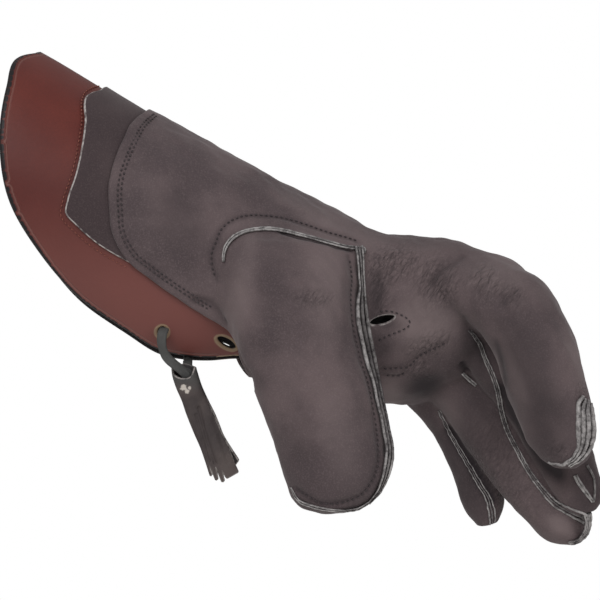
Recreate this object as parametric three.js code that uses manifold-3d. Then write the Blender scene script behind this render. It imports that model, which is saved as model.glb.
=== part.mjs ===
import * as THREE from "three";
import { mergeVertices } from "three/addons/utils/BufferGeometryUtils.js";
import Module from "manifold-3d";

// Falconry glove for the left hand, held as it is worn, in millimetres with +Z up.
// The cuff rises to the left, the thumb hangs in front at -Y and the origin is the middle of the wrist.

const wasm = await Module();
wasm.setup();

// Leathers and the clearances between them
const gauntletLeather = 2.4;
const suedeLeather = 1.6;
const nubuckLeather = 1.8;
const layerGap = 0.3;
const seamGap = 0.3;

// Cuff
const cuffSlope = THREE.MathUtils.degToRad(27.7);
const cuffLength = 164;
const wristHeight = 72;
const wristDepth = 66;
const farFlapDrop = 5.5;
const laceHoleWidth = 6;
const laceSlotWidth = 9;
const laceSlotHeight = 4.4;

// Hand
const palmLength = 88;
const palmBreadth = 84;
const palmThickness = 50;
const thumbLength = 122;
const thumbBreadth = 58;
const thumbThickness = 40;
const ventLength = 12.5;
const ventWidth = 3.6;
const indexLength = 91;
const indexBreadth = 36;
const middleLength = 102;
const middleBreadth = 27;
const ringLength = 96;
const ringBreadth = 26;
const littleLength = 70;
const littleBreadth = 22;

// Start of the back panel from the wrist by palmLength, and the sleeve's lower corner by cuffLength
const backPanelStart = 0.3;
const sleeveCorner = 0.08;

// Raw seam plies
const seamWidth = 4.4;
const seamHeight = 3.2;
const tipSeamWidth = 7;
const thumbSeamWidth = 4.6;
const thumbSeamHeight = 3.6;

// Thong and tassel
const thongWidth = 4.2;
const thongThickness = 2;
const tasselLength = 53;
const tasselHeadLength = 20;
const tasselRadius = 5.8;
const tasselLeather = 1.8;
const tasselFlatness = 0.8;
const tasselLean = THREE.MathUtils.degToRad(20);

// Place of the vent in the palm, by palmLength and palmBreadth
const ventPlace = { along: 0.43, rise: 0.02 };
const ventTilt = THREE.MathUtils.degToRad(-17);

// Depth of each flap at the lace holes from the glove's middle, by wristDepth
const flapDepth = 0.43;

// Middle of the tassel's open top from the near lace hole, by thongWidth
const tasselDrop = { right: 2.37, toward: -1.04, down: 4.15 };

// Number of facets round each kind of loft, and the distance that joins two vertices of a cut
const vertexWeld = 0.02;
const cuffSides = 28;
const fingerSides = 14;
const tasselSides = 14;
const thumbSides = 24;
const postSides = 16;

// Directions: along the forearm to the hand, up from it, and away from the viewer
const alongCuff = new THREE.Vector3(Math.cos(cuffSlope), 0, -Math.sin(cuffSlope));
const upCuff = new THREE.Vector3(Math.sin(cuffSlope), 0, Math.cos(cuffSlope));
const away = new THREE.Vector3(0, 1, 0);

// Cuff sections on the gauntlet's outer face.
// along is a share of cuffLength from the wrist, top and bottom of wristHeight, depth of wristDepth.
const cuffSections = [
  { along: -1.1, top: 0.5, bottom: -1.0, depth: 1.3 },
  { along: -0.74, top: 0.493, bottom: -0.97, depth: 1.26 },
  { along: -0.6, top: 0.468, bottom: -0.94, depth: 1.22 },
  { along: -0.45, top: 0.457, bottom: -0.91, depth: 1.18 },
  { along: -0.3, top: 0.45, bottom: -0.89, depth: 1.14 },
  { along: -0.15, top: 0.445, bottom: -0.8, depth: 1.07 },
  { along: -0.03, top: 0.445, bottom: -0.64, depth: 1.0 },
  { along: 0.075, top: 0.445, bottom: -0.53, depth: 0.94 },
];

// Palm sections on the nubuck's outer face.
// along is a share of palmLength, rise, across and toward of palmBreadth, thick of palmThickness.
const palmSections = [
  { along: 0.28, rise: 0.015, toward: 0.0, across: 0.87, thick: 1.24, twist: 6 },
  { along: 0.43, rise: 0.05, toward: 0.0, across: 0.95, thick: 1.12, twist: 14 },
  { along: 0.64, rise: 0.11, toward: 0.01, across: 1.01, thick: 1.0, twist: 25 },
  { along: 0.82, rise: 0.14, toward: 0.02, across: 0.98, thick: 0.86, twist: 32 },
  { along: 0.95, rise: 0.18, toward: 0.02, across: 0.88, thick: 0.66, twist: 36 },
  { along: 1.02, rise: 0.19, toward: 0.02, across: 0.72, thick: 0.42, twist: 36 },
];

// Free edges on the near flap: along is a share of cuffLength, rise of wristHeight.
const gauntletEdge = [
  { along: -0.93, rise: 0.51 },
  { along: -0.955, rise: 0.42 },
  { along: -0.933, rise: 0.225 },
  { along: -0.87, rise: -0.12 },
  { along: -0.784, rise: -0.38 },
  { along: -0.66, rise: -0.57 },
  { along: -0.532, rise: -0.695 },
  { along: -0.358, rise: -0.742 },
  { along: -0.264, rise: -0.755 },
  { along: -0.132, rise: -0.66 },
  { along: -0.065, rise: -0.565 },
  { along: 0.05, rise: -0.46 },
];
const suedeEdge = [
  { along: -0.725, rise: 0.5 },
  { along: -0.742, rise: 0.42 },
  { along: -0.706, rise: 0.25 },
  { along: -0.658, rise: -0.07 },
  { along: -0.646, rise: -0.227 },
  { along: -0.635, rise: -0.3 },
  { along: -0.6, rise: -0.33 },
  { along: -0.536, rise: -0.367 },
  { along: -0.434, rise: -0.381 },
  { along: -0.37, rise: -0.375 },
];
const nubuckEdge = [
  { along: -0.59, rise: 0.51 },
  { along: -0.599, rise: 0.41 },
  { along: -0.595, rise: 0.28 },
  { along: -0.565, rise: -0.035 },
  { along: -0.535, rise: -0.16 },
  { along: -0.503, rise: -0.27 },
  { along: -0.44, rise: -0.37 },
  { along: -0.36, rise: -0.41 },
  { along: -0.188, rise: -0.455 },
  { along: -0.08, rise: -0.5 },
  { along: 0.02, rise: -0.56 },
];

// Lace holes on the near flap, by the same shares as the free edges
const laceHole = { along: -0.272, rise: -0.656 };
const laceSlot = { along: -0.112, rise: -0.53 };

// Fingers. The root is along by palmLength, rise and toward by palmBreadth.
// Path rows go right, toward the viewer and down by the finger's length; wide and thick by its breadth.
// seam is the angle of the raw seam from the thumb side round to the palm, in degrees.
// backSeam is how far behind the finger's middle its palm and back sides meet, by its breadth.
const fingers = [
  {
    name: "index",
    backSeam: 0.3,
    length: indexLength,
    breadth: indexBreadth,
    seam: { angle: -18, from: 4, to: 8, width: tipSeamWidth },
    root: { along: 0.6, rise: 0.31, toward: 0.17 },
    path: [
      { right: 0.0, toward: 0.0, down: 0.0, wide: 0.7, thick: 0.75 },
      { right: 0.16, toward: 0.07, down: 0.01, wide: 0.86, thick: 0.88 },
      { right: 0.33, toward: 0.15, down: 0.07, wide: 0.98, thick: 0.96 },
      { right: 0.45, toward: 0.21, down: 0.25, wide: 1.0, thick: 0.96 },
      { right: 0.51, toward: 0.25, down: 0.48, wide: 0.98, thick: 0.94 },
      { right: 0.55, toward: 0.28, down: 0.64, wide: 0.88, thick: 0.84 },
      { right: 0.575, toward: 0.3, down: 0.75, wide: 0.74, thick: 0.7 },
      { right: 0.585, toward: 0.31, down: 0.82, wide: 0.56, thick: 0.5 },
      { right: 0.59, toward: 0.31, down: 0.86, wide: 0.28, thick: 0.26 },
    ],
  },
  {
    name: "middle",
    backSeam: 0.1,
    length: middleLength,
    breadth: middleBreadth,
    seam: { angle: -12, from: 4, to: 6, width: seamWidth },
    root: { along: 0.79, rise: 0.2, toward: 0.06 },
    path: [
      { right: 0.0, toward: 0.0, down: 0.0, wide: 1.0, thick: 0.9 },
      { right: 0.16, toward: 0.0, down: 0.16, wide: 1.0, thick: 0.95 },
      { right: 0.31, toward: 0.02, down: 0.34, wide: 0.98, thick: 0.94 },
      { right: 0.42, toward: 0.05, down: 0.53, wide: 0.95, thick: 0.9 },
      { right: 0.49, toward: 0.1, down: 0.67, wide: 0.86, thick: 0.8 },
      { right: 0.525, toward: 0.13, down: 0.76, wide: 0.68, thick: 0.62 },
      { right: 0.54, toward: 0.14, down: 0.81, wide: 0.34, thick: 0.3 },
    ],
  },
  {
    name: "ring",
    backSeam: 0.0,
    length: ringLength,
    breadth: ringBreadth,
    seam: { angle: 15, from: 1, to: 6, width: seamWidth },
    root: { along: 0.8, rise: -0.06, toward: -0.11 },
    path: [
      { right: 0.0, toward: 0.0, down: 0.0, wide: 1.1, thick: 0.95 },
      { right: 0.14, toward: 0.01, down: 0.14, wide: 1.06, thick: 0.96 },
      { right: 0.27, toward: 0.04, down: 0.34, wide: 0.98, thick: 0.94 },
      { right: 0.39, toward: 0.08, down: 0.51, wide: 0.92, thick: 0.9 },
      { right: 0.52, toward: 0.14, down: 0.665, wide: 0.88, thick: 0.86 },
      { right: 0.62, toward: 0.17, down: 0.76, wide: 0.74, thick: 0.7 },
      { right: 0.665, toward: 0.19, down: 0.805, wide: 0.36, thick: 0.32 },
    ],
  },
  {
    name: "little",
    backSeam: 0.0,
    length: littleLength,
    breadth: littleBreadth,
    seam: { angle: 45, from: 1, to: 5, width: seamWidth },
    root: { along: 0.76, rise: -0.17, toward: -0.238 },
    path: [
      { right: 0.0, toward: 0.0, down: 0.0, wide: 1.1, thick: 1.0 },
      { right: 0.19, toward: 0.0, down: 0.2, wide: 1.0, thick: 0.95 },
      { right: 0.32, toward: 0.03, down: 0.46, wide: 0.92, thick: 0.9 },
      { right: 0.385, toward: 0.06, down: 0.66, wide: 0.88, thick: 0.86 },
      { right: 0.42, toward: 0.09, down: 0.84, wide: 0.8, thick: 0.78 },
      { right: 0.44, toward: 0.1, down: 0.95, wide: 0.46, thick: 0.42 },
    ],
  },
];

// Thumb. The root is right and toward by wristDepth and up by wristHeight.
// Rows go down by thumbLength, right by thumbBreadth, toward by thumbThickness.
// yaw turns a section's right end away from the viewer and roll turns it down, in degrees.
const thumbRoot = { right: -0.13, toward: 0.5, up: 0.33 };
const thumbSections = [
  { down: 0.0, right: -0.14, toward: 0.0, wide: 0.38, thick: 0.15, yaw: 14, roll: 7 },
  { down: 0.015, right: -0.09, toward: 0.01, wide: 0.62, thick: 0.26, yaw: 14, roll: 8 },
  { down: 0.035, right: -0.04, toward: 0.03, wide: 0.82, thick: 0.4, yaw: 14, roll: 8 },
  { down: 0.08, right: 0.02, toward: 0.06, wide: 0.97, thick: 0.6, yaw: 14, roll: 7 },
  { down: 0.14, right: 0.03, toward: 0.1, wide: 1.01, thick: 0.8, yaw: 14, roll: 4 },
  { down: 0.255, right: 0.05, toward: 0.17, wide: 0.96, thick: 0.95, yaw: 12, roll: 0 },
  { down: 0.4, right: 0.11, toward: 0.22, wide: 0.96, thick: 1.0, yaw: 10, roll: 0 },
  { down: 0.54, right: 0.2, toward: 0.25, wide: 0.9, thick: 1.0, yaw: 8, roll: 0 },
  { down: 0.68, right: 0.29, toward: 0.28, wide: 0.85, thick: 0.95, yaw: 6, roll: 0 },
  { down: 0.785, right: 0.36, toward: 0.3, wide: 0.8, thick: 0.9, yaw: 5, roll: 0 },
  { down: 0.89, right: 0.39, toward: 0.33, wide: 0.7, thick: 0.76, yaw: 4, roll: 0 },
  { down: 0.945, right: 0.38, toward: 0.33, wide: 0.56, thick: 0.6, yaw: 4, roll: 0 },
  { down: 0.978, right: 0.37, toward: 0.33, wide: 0.38, thick: 0.4, yaw: 4, roll: 0 },
  { down: 0.99, right: 0.37, toward: 0.33, wide: 0.2, thick: 0.2, yaw: 4, roll: 0 },
];

// Tassel strips: aside and toward by tasselRadius from the head's axis, width by tasselRadius,
// length by tasselLength, sway by tasselLength at the free end.
const tasselStrips = [
  { aside: -0.62, toward: 0.1, width: 0.38, length: 0.98, sway: -0.06 },
  { aside: -0.25, toward: 0.35, width: 0.36, length: 0.99, sway: -0.01 },
  { aside: 0.1, toward: 0.5, width: 0.36, length: 1.0, sway: 0.03 },
  { aside: 0.4, toward: 0.15, width: 1.0, length: 0.97, sway: 0.03 },
  { aside: 0.45, toward: -0.5, width: 0.9, length: 0.86, sway: 0.09 },
  { aside: -0.35, toward: -0.55, width: 0.9, length: 0.92, sway: 0.02 },
];

// Thong stops from the tassel's head through both flaps and back. Each is right, back and up of its place
// by thongWidth, and faces right, back and up by the last three columns. At the head, up is its axis.
const thongStops = [
  { place: "headLeft", right: 0, back: 0, up: -1.43, faceRight: -1, faceBack: 0, faceUp: 0 },
  { place: "headLeft", right: 0, back: 0, up: 0.48, faceRight: -1, faceBack: 0, faceUp: 0 },
  { place: "nearHole", right: 0.6, back: -1.43, up: -2.14, faceRight: -0.94, faceBack: -1, faceUp: -0.34 },
  { place: "nearHole", right: 0.12, back: -1.19, up: -0.71, faceRight: 0, faceBack: -1, faceUp: 1 },
  { place: "nearHole", right: 0, back: -0.48, up: 0, faceRight: 0, faceBack: 0, faceUp: 1 },
  { place: "nearHole", right: 0, back: 1.43, up: 0.12, faceRight: 0, faceBack: 0, faceUp: 1 },
  { place: "midway", right: 0, back: 0, up: 0.48, faceRight: 0, faceBack: 0, faceUp: 1 },
  { place: "farHole", right: 0, back: -1.43, up: 0.12, faceRight: 0, faceBack: 0, faceUp: 1 },
  { place: "farHole", right: 0, back: 0.6, up: 0, faceRight: 0, faceBack: 0, faceUp: 1 },
  { place: "farHole", right: 0.12, back: 1.43, up: -0.95, faceRight: 0, faceBack: 1, faceUp: 1 },
  { place: "farHole", right: 0.71, back: 0.95, up: -3.33, faceRight: 0, faceBack: 1, faceUp: 0 },
  { place: "farHole", right: 1.43, back: -3.33, up: -4.76, faceRight: 0, faceBack: 1, faceUp: -1 },
  { place: "headRight", right: 0, back: 2.86, up: 1.43, faceRight: 0.66, faceBack: 0, faceUp: -0.94 },
  { place: "headRight", right: 0, back: 0, up: 0.48, faceRight: 1, faceBack: 0, faceUp: 0 },
  { place: "headRight", right: 0, back: 0, up: -1.43, faceRight: 1, faceBack: 0, faceUp: 0 },
];

// Solid from points and triangles, turned the right way out
function solidFrom(points, triangles) {
  const vertProperties = new Float32Array(points.flatMap((point) => [point.x, point.y, point.z]));
  const build = (faces) => {
    const triVerts = new Uint32Array(faces.flat());
    return new wasm.Manifold(new wasm.Mesh({ numProp: 3, vertProperties, triVerts }));
  };
  const made = build(triangles);
  return made.volume() > 0 ? made : build(triangles.map(([a, b, c]) => [a, c, b]));
}

// Solid from a closed three.js geometry
function solidFromGeometry(geometry) {
  geometry.deleteAttribute("normal");
  geometry.deleteAttribute("uv");
  const merged = mergeVertices(geometry, 1e-4);
  const position = merged.getAttribute("position");
  const points = [];
  for (let index = 0; index < position.count; index += 1) {
    points.push(new THREE.Vector3().fromBufferAttribute(position, index));
  }
  const triangles = [];
  for (let index = 0; index < merged.index.count; index += 3) {
    triangles.push([0, 1, 2].map((corner) => merged.index.getX(index + corner)));
  }
  return solidFrom(points, triangles);
}

function middleOf(points) {
  const total = points.reduce((sum, point) => sum.add(point), new THREE.Vector3());
  return total.divideScalar(points.length);
}

// Closed solid through rings of points, with a fan at each end
function loft(rings) {
  const sides = rings[0].length;
  const points = rings.flat();
  const triangles = [];
  for (let ring = 0; ring < rings.length - 1; ring += 1) {
    for (let side = 0; side < sides; side += 1) {
      const here = ring * sides + side;
      const beside = ring * sides + ((side + 1) % sides);
      triangles.push([here, beside, beside + sides]);
      triangles.push([here, beside + sides, here + sides]);
    }
  }
  const first = points.push(middleOf(rings[0])) - 1;
  const last = points.push(middleOf(rings.at(-1))) - 1;
  const lastRing = (rings.length - 1) * sides;
  for (let side = 0; side < sides; side += 1) {
    const beside = (side + 1) % sides;
    triangles.push([first, beside, side]);
    triangles.push([last, lastRing + side, lastRing + beside]);
  }
  return solidFrom(points, triangles);
}

// Oval ring of a section, grown all round by an amount
function ovalRing(section, sides, grow) {
  const ring = [];
  for (let side = 0; side < sides; side += 1) {
    const angle = (2 * Math.PI * side) / sides;
    const point = section.center.clone();
    point.addScaledVector(section.across, (section.halfAcross + grow) * Math.cos(angle));
    point.addScaledVector(section.through, (section.halfThrough + grow) * Math.sin(angle));
    ring.push(point);
  }
  return ring;
}

// Loft through oval sections, grown all round and past both ends by an amount
function ovalLoft(sections, sides, grow) {
  const rings = sections.map((section) => ovalRing(section, sides, grow));
  const stretch = (end, neighbour) => {
    const outward = sections.at(end).center.clone().sub(sections.at(neighbour).center).setLength(1);
    rings.at(end).forEach((point) => point.addScaledVector(outward, grow));
  };
  stretch(0, 1);
  stretch(-1, -2);
  return loft(rings);
}

// Point of the forearm frame
function cuffPoint(along, rise, farther) {
  const point = new THREE.Vector3();
  point.addScaledVector(alongCuff, along);
  point.addScaledVector(upCuff, rise);
  return point.addScaledVector(away, farther);
}

// Cuff and palm sections in place
function placedCuff() {
  return cuffSections.map((row) => ({
    center: cuffPoint(row.along * cuffLength, ((row.top + row.bottom) / 2) * wristHeight, 0),
    across: upCuff,
    through: away,
    halfAcross: ((row.top - row.bottom) / 2) * wristHeight,
    halfThrough: (row.depth * wristDepth) / 2,
  }));
}

function twistedAxes(twistDegrees) {
  const twist = THREE.MathUtils.degToRad(twistDegrees);
  const across = upCuff.clone().multiplyScalar(Math.cos(twist)).addScaledVector(away, -Math.sin(twist));
  const through = upCuff.clone().multiplyScalar(Math.sin(twist)).addScaledVector(away, Math.cos(twist));
  return { across, through };
}

function placedPalm() {
  return palmSections.map((row) => ({
    center: cuffPoint(row.along * palmLength, row.rise * palmBreadth, -row.toward * palmBreadth),
    ...twistedAxes(row.twist),
    halfAcross: (row.across * palmBreadth) / 2,
    halfThrough: (row.thick * palmThickness) / 2,
  }));
}

const nubuckLift = 2 * layerGap + suedeLeather + nubuckLeather;
const gauntletSections = placedCuff();
const sleeveSections = gauntletSections.map((section) => ({
  ...section,
  halfAcross: section.halfAcross + nubuckLift,
  halfThrough: section.halfThrough + nubuckLift,
}));
const bodySections = [...sleeveSections, ...placedPalm()];
const handAcross = twistedAxes(palmSections.at(-1).twist).across;

// Finger sections in place, square to the finger's path
function placedFinger(finger) {
  const root = cuffPoint(
    finger.root.along * palmLength,
    finger.root.rise * palmBreadth,
    -finger.root.toward * palmBreadth,
  );
  const centers = finger.path.map((row) =>
    root.clone().add(new THREE.Vector3(row.right, -row.toward, -row.down).multiplyScalar(finger.length)),
  );
  return finger.path.map((row, index) => {
    const before = centers[Math.max(index - 1, 0)];
    const after = centers[Math.min(index + 1, centers.length - 1)];
    const tangent = after.clone().sub(before).normalize();
    const across = handAcross.clone().addScaledVector(tangent, -handAcross.dot(tangent)).normalize();
    return {
      center: centers[index],
      across,
      through: tangent.clone().cross(across),
      halfAcross: (row.wide * finger.breadth) / 2,
      halfThrough: (row.thick * finger.breadth) / 2,
    };
  });
}

function placedThumb() {
  const root = new THREE.Vector3(
    thumbRoot.right * wristDepth,
    -thumbRoot.toward * wristDepth,
    thumbRoot.up * wristHeight,
  );
  return thumbSections.map((row) => {
    const yaw = THREE.MathUtils.degToRad(row.yaw);
    const roll = THREE.MathUtils.degToRad(row.roll);
    const step = new THREE.Vector3(
      row.right * thumbBreadth,
      -row.toward * thumbThickness,
      -row.down * thumbLength,
    );
    return {
      center: root.clone().add(step),
      across: new THREE.Vector3(Math.cos(yaw) * Math.cos(roll), Math.sin(yaw), -Math.sin(roll)).normalize(),
      through: new THREE.Vector3(-Math.sin(yaw), Math.cos(yaw), 0),
      halfAcross: (row.wide * thumbBreadth) / 2,
      halfThrough: (row.thick * thumbThickness) / 2,
    };
  });
}

const fingerLofts = fingers.map(placedFinger);
const thumbLoft = placedThumb();

// Whole hand with all four fingers, grown by an amount
function handSolid(grow) {
  const palm = ovalLoft(bodySections, cuffSides, grow);
  return fingerLofts.reduce((whole, sections) => whole.add(ovalLoft(sections, fingerSides, grow)), palm);
}

// Prism behind an outline drawn on the side of the cuff, whose far flap hangs a little lower
function outlinePrism(edge, closing) {
  const reach = 2 * wristDepth;
  const lean = farFlapDrop / wristDepth;
  const curve = new THREE.SplineCurve(
    edge.map((row) => new THREE.Vector2(row.along * cuffLength, row.rise * wristHeight)),
  );
  const outline = [...curve.getPoints(2 * edge.length), ...closing];
  const geometry = new THREE.ExtrudeGeometry(new THREE.Shape(outline), {
    depth: 2 * reach,
    bevelEnabled: false,
  });
  const sideways = new THREE.Vector3(0, 1, 0).addScaledVector(upCuff, -lean);
  const place = new THREE.Matrix4().makeBasis(alongCuff, upCuff, sideways);
  geometry.applyMatrix4(place);
  const start = sideways.clone().multiplyScalar(-reach).addScaledVector(upCuff, -farFlapDrop / 2);
  geometry.translate(start.x, start.y, start.z);
  return solidFromGeometry(geometry);
}

// Corners that close a cuff outline above the glove, from its last point back over its first
function closeAbove(edge) {
  const above = 2 * wristHeight;
  return [
    new THREE.Vector2(edge.at(-1).along * cuffLength, above),
    new THREE.Vector2(edge[0].along * cuffLength, above),
  ];
}

// Upright post through both flaps at a lace hole
function lacePost(place, width, height) {
  const shape = new THREE.CylinderGeometry(width / 2, width / 2, 3 * wristDepth, postSides);
  shape.scale(1, 1, height / width);
  shape.rotateY(cuffSlope);
  const center = lacePoint(place);
  shape.translate(center.x, center.y, center.z);
  return solidFromGeometry(shape);
}

// Point midway between the two flaps at a lace hole
function lacePoint(place) {
  return cuffPoint(place.along * cuffLength, place.rise * wristHeight, 0);
}

// Largest body of a cut solid, without slivers
function largest(solid) {
  const parts = solid.decompose();
  return parts.reduce((best, part) => (part.volume() > best.volume() ? part : best));
}

// Point of a path at a distance along the forearm direction, held at the path's ends
function pathAt(points, along) {
  const places = points.map((point) => point.dot(alongCuff));
  const next = places.findIndex((place) => place > along);
  if (next <= 0) {
    const end = next === 0 ? points[0] : points.at(-1);
    return end.clone().addScaledVector(alongCuff, along - end.dot(alongCuff));
  }
  const share = (along - places[next - 1]) / (places[next] - places[next - 1]);
  return points[next - 1].clone().lerp(points[next], share);
}

// Everything on the back side of a sheet through the middle of every finger
function backSide(shift) {
  const beyond = 1.6 * palmBreadth;
  const through = twistedAxes(palmSections.at(-1).twist).through;
  const start = backPanelStart * palmLength;
  const end = 1.2 * (palmLength + Math.max(...fingers.map((finger) => finger.length)));
  const rowCount = 12;
  const stops = Array.from({ length: rowCount }, (_, row) => start + ((end - start) * row) / (rowCount - 1));
  const columns = fingerLofts.map((sections, index) => {
    const lift = fingers[index].backSeam * fingers[index].breadth;
    const centers = sections.map((section) => section.center.clone().addScaledVector(through, lift));
    return stops.map((along) => pathAt(centers, along));
  });
  const indexSide = columns[0].map((point) => point.clone().addScaledVector(handAcross, beyond));
  const littleSide = columns.at(-1).map((point) => point.clone().addScaledVector(handAcross, -beyond));
  const grid = [indexSide, ...columns, littleSide];
  grid.flat().forEach((point) => point.addScaledVector(through, shift));
  return sheetSolid(grid, through.clone().multiplyScalar(2 * palmBreadth), rowCount);
}

// Solid between a grid of points and its copy moved by a step
function sheetSolid(grid, step, rowCount) {
  const front = grid.flat();
  const points = [...front, ...front.map((point) => point.clone().add(step))];
  const offset = front.length;
  const triangles = [];
  const quad = (a, b, c, d) => triangles.push([a, b, c], [a, c, d]);
  const at = (column, row) => column * rowCount + row;
  for (let column = 0; column < grid.length - 1; column += 1) {
    for (let row = 0; row < rowCount - 1; row += 1) {
      const corners = [at(column, row), at(column + 1, row), at(column + 1, row + 1), at(column, row + 1)];
      quad(...corners);
      quad(...corners.map((corner) => corner + offset).reverse());
    }
  }
  const rim = [];
  for (let column = 0; column < grid.length - 1; column += 1) {
    rim.push(at(column, 0));
  }
  for (let row = 0; row < rowCount - 1; row += 1) {
    rim.push(at(grid.length - 1, row));
  }
  for (let column = grid.length - 1; column > 0; column -= 1) {
    rim.push(at(column, rowCount - 1));
  }
  for (let row = rowCount - 1; row > 0; row -= 1) {
    rim.push(at(0, row));
  }
  rim.forEach((corner, index) => {
    const next = rim[(index + 1) % rim.length];
    quad(next, corner, corner + offset, next + offset);
  });
  return solidFrom(points, triangles);
}

// Strip of stacked plies along a path: each stop has a point, an outward direction, a width and a height
function plyStrip(stops) {
  const rings = stops.map((stop, index) => {
    const before = stops[Math.max(index - 1, 0)].point;
    const after = stops[Math.min(index + 1, stops.length - 1)].point;
    const tangent = after.clone().sub(before).normalize();
    const outward = stop.outward.clone().addScaledVector(tangent, -stop.outward.dot(tangent)).normalize();
    const aside = tangent.clone().cross(outward);
    const corner = (across, out) =>
      stop.point
        .clone()
        .addScaledVector(aside, (across * stop.width) / 2)
        .addScaledVector(outward, out);
    return [
      corner(-1, -stop.sink),
      corner(1, -stop.sink),
      corner(1, stop.height),
      corner(-1, stop.height),
    ];
  });
  return loft(rings);
}

// Stop of a seam on a section's surface, turned from its across side towards the palm
function seamStop(section, angleDegrees, width, height) {
  const angle = THREE.MathUtils.degToRad(angleDegrees);
  const outward = section.across.clone().multiplyScalar(Math.cos(angle) * section.halfThrough);
  outward.addScaledVector(section.through, Math.sin(angle) * section.halfAcross).normalize();
  const point = section.center.clone();
  point.addScaledVector(section.across, section.halfAcross * Math.cos(angle));
  point.addScaledVector(section.through, section.halfThrough * Math.sin(angle));
  return { point, outward, width, height: height + seamGap, sink: height };
}

// Leather colours and finishes
const redLeather = new THREE.MeshStandardMaterial({ color: 0x6b3a32, roughness: 0.48, metalness: 0 });
const darkSuede = new THREE.MeshStandardMaterial({ color: 0x42383a, roughness: 0.92, metalness: 0 });
const nubuck = new THREE.MeshStandardMaterial({ color: 0x5a4e51, roughness: 0.8, metalness: 0 });
const rawEdge = new THREE.MeshStandardMaterial({ color: 0x8b8684, roughness: 0.95, metalness: 0 });
const thongLeather = new THREE.MeshStandardMaterial({ color: 0x454043, roughness: 0.75, metalness: 0 });

const glove = new THREE.Group();

// Geometry of a solid, with vertices closer than the weld joined and the flattened triangles dropped
function geometryOf(solid) {
  const mesh = solid.getMesh();
  const positions = new Float32Array(mesh.numVert * 3);
  for (let vertex = 0; vertex < mesh.numVert; vertex += 1) {
    for (let axis = 0; axis < 3; axis += 1) {
      positions[vertex * 3 + axis] = mesh.vertProperties[vertex * mesh.numProp + axis];
    }
  }
  const geometry = new THREE.BufferGeometry();
  geometry.setAttribute("position", new THREE.BufferAttribute(positions, 3));
  geometry.setIndex(new THREE.BufferAttribute(new Uint32Array(mesh.triVerts), 1));
  const welded = mergeVertices(geometry, vertexWeld);
  const kept = [];
  for (let index = 0; index < welded.index.count; index += 3) {
    const [a, b, c] = [0, 1, 2].map((corner) => welded.index.getX(index + corner));
    if (a !== b && b !== c && c !== a) {
      kept.push(a, b, c);
    }
  }
  welded.setIndex(kept);
  welded.computeVertexNormals();
  return welded;
}

function addPart(name, solid, material) {
  const part = new THREE.Mesh(geometryOf(solid), material);
  part.name = name;
  glove.add(part);
}

// Shapes that several pieces are cut by
const handOuter = handSolid(0);
const handInner = handSolid(-nubuckLeather);
const thumbOuter = ovalLoft(thumbLoft, thumbSides, 0);
const thumbInner = ovalLoft(thumbLoft, thumbSides, -nubuckLeather);
const handClear = handSolid(seamGap);
const thumbClear = ovalLoft(thumbLoft, thumbSides, seamGap);

// Gauntlet
function makeGauntlet() {
  const outer = ovalLoft(gauntletSections, cuffSides, 0);
  const inner = ovalLoft(gauntletSections, cuffSides, -gauntletLeather);
  const outline = outlinePrism(gauntletEdge, closeAbove(gauntletEdge));
  const shell = outer.subtract(inner).intersect(outline);
  const hole = lacePost(laceHole, laceHoleWidth, laceHoleWidth);
  const slot = lacePost(laceSlot, laceSlotWidth, laceSlotHeight);
  return largest(shell.subtract(hole).subtract(slot).subtract(thumbClear).subtract(thongSolid(seamGap)));
}

// Suede panel on the gauntlet
function makeSuede() {
  const outer = ovalLoft(gauntletSections, cuffSides, layerGap + suedeLeather);
  const inner = ovalLoft(gauntletSections, cuffSides, layerGap);
  const outline = outlinePrism(suedeEdge, closeAbove(suedeEdge));
  return largest(outer.subtract(inner).intersect(outline).subtract(thumbClear));
}

// Vent slit in the palm
function ventPost() {
  const slit = new THREE.CylinderGeometry(ventLength / 2, ventLength / 2, wristDepth, postSides);
  slit.scale(1, 1, ventWidth / ventLength);
  slit.rotateY(ventTilt);
  const center = cuffPoint(ventPlace.along * palmLength, ventPlace.rise * palmBreadth, -wristDepth / 2);
  slit.translate(center.x, center.y, center.z);
  return solidFromGeometry(slit);
}

// Nubuck sleeve and hand, in a palm side and a back side that meet at the finger seams
function makeHand() {
  const pastFingers = palmLength + 2 * Math.max(...fingers.map((finger) => finger.length));
  const above = 2 * wristHeight;
  const outline = outlinePrism(nubuckEdge, [
    new THREE.Vector2(sleeveCorner * cuffLength, -pastFingers),
    new THREE.Vector2(pastFingers, -pastFingers),
    new THREE.Vector2(pastFingers, above),
    new THREE.Vector2(nubuckEdge[0].along * cuffLength, above),
  ]);
  const shell = handOuter.subtract(handInner).subtract(thumbInner).intersect(outline);
  const backHalf = backSide(seamGap / 2);
  const palm = shell.subtract(backSide(-seamGap / 2)).subtract(ventPost());
  const back = shell.intersect(backHalf);
  return { palm: largest(palm), back: largest(back) };
}

// Thumb tube, open into the palm
function makeThumb() {
  return largest(thumbOuter.subtract(thumbInner).subtract(handClear));
}

// Thumb seam over the top arc, down the outer edge and round the tip
function makeThumbSeam() {
  const rightEdge = thumbLoft.slice(1, -1);
  const leftEdge = thumbLoft.slice(1, 5).reverse();
  const tipEdge = thumbLoft.slice(-4, -1).reverse();
  const stops = [
    ...leftEdge.map((section) => seamStop(section, 180, thumbSeamWidth, thumbSeamHeight / 2)),
    ...rightEdge.map((section) => seamStop(section, 0, thumbSeamWidth, thumbSeamHeight)),
    ...tipEdge.map((section) => seamStop(section, 180, thumbSeamWidth, thumbSeamHeight / 2)),
  ];
  return largest(plyStrip(stops).subtract(thumbClear).subtract(handClear));
}

// Raw seam on a finger
function makeFingerSeam(index) {
  const { seam } = fingers[index];
  const sections = fingerLofts[index].slice(seam.from, seam.to + 1);
  const stops = sections.map((section) => seamStop(section, seam.angle, seam.width, seamHeight));
  return largest(plyStrip(stops).subtract(handClear));
}

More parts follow.
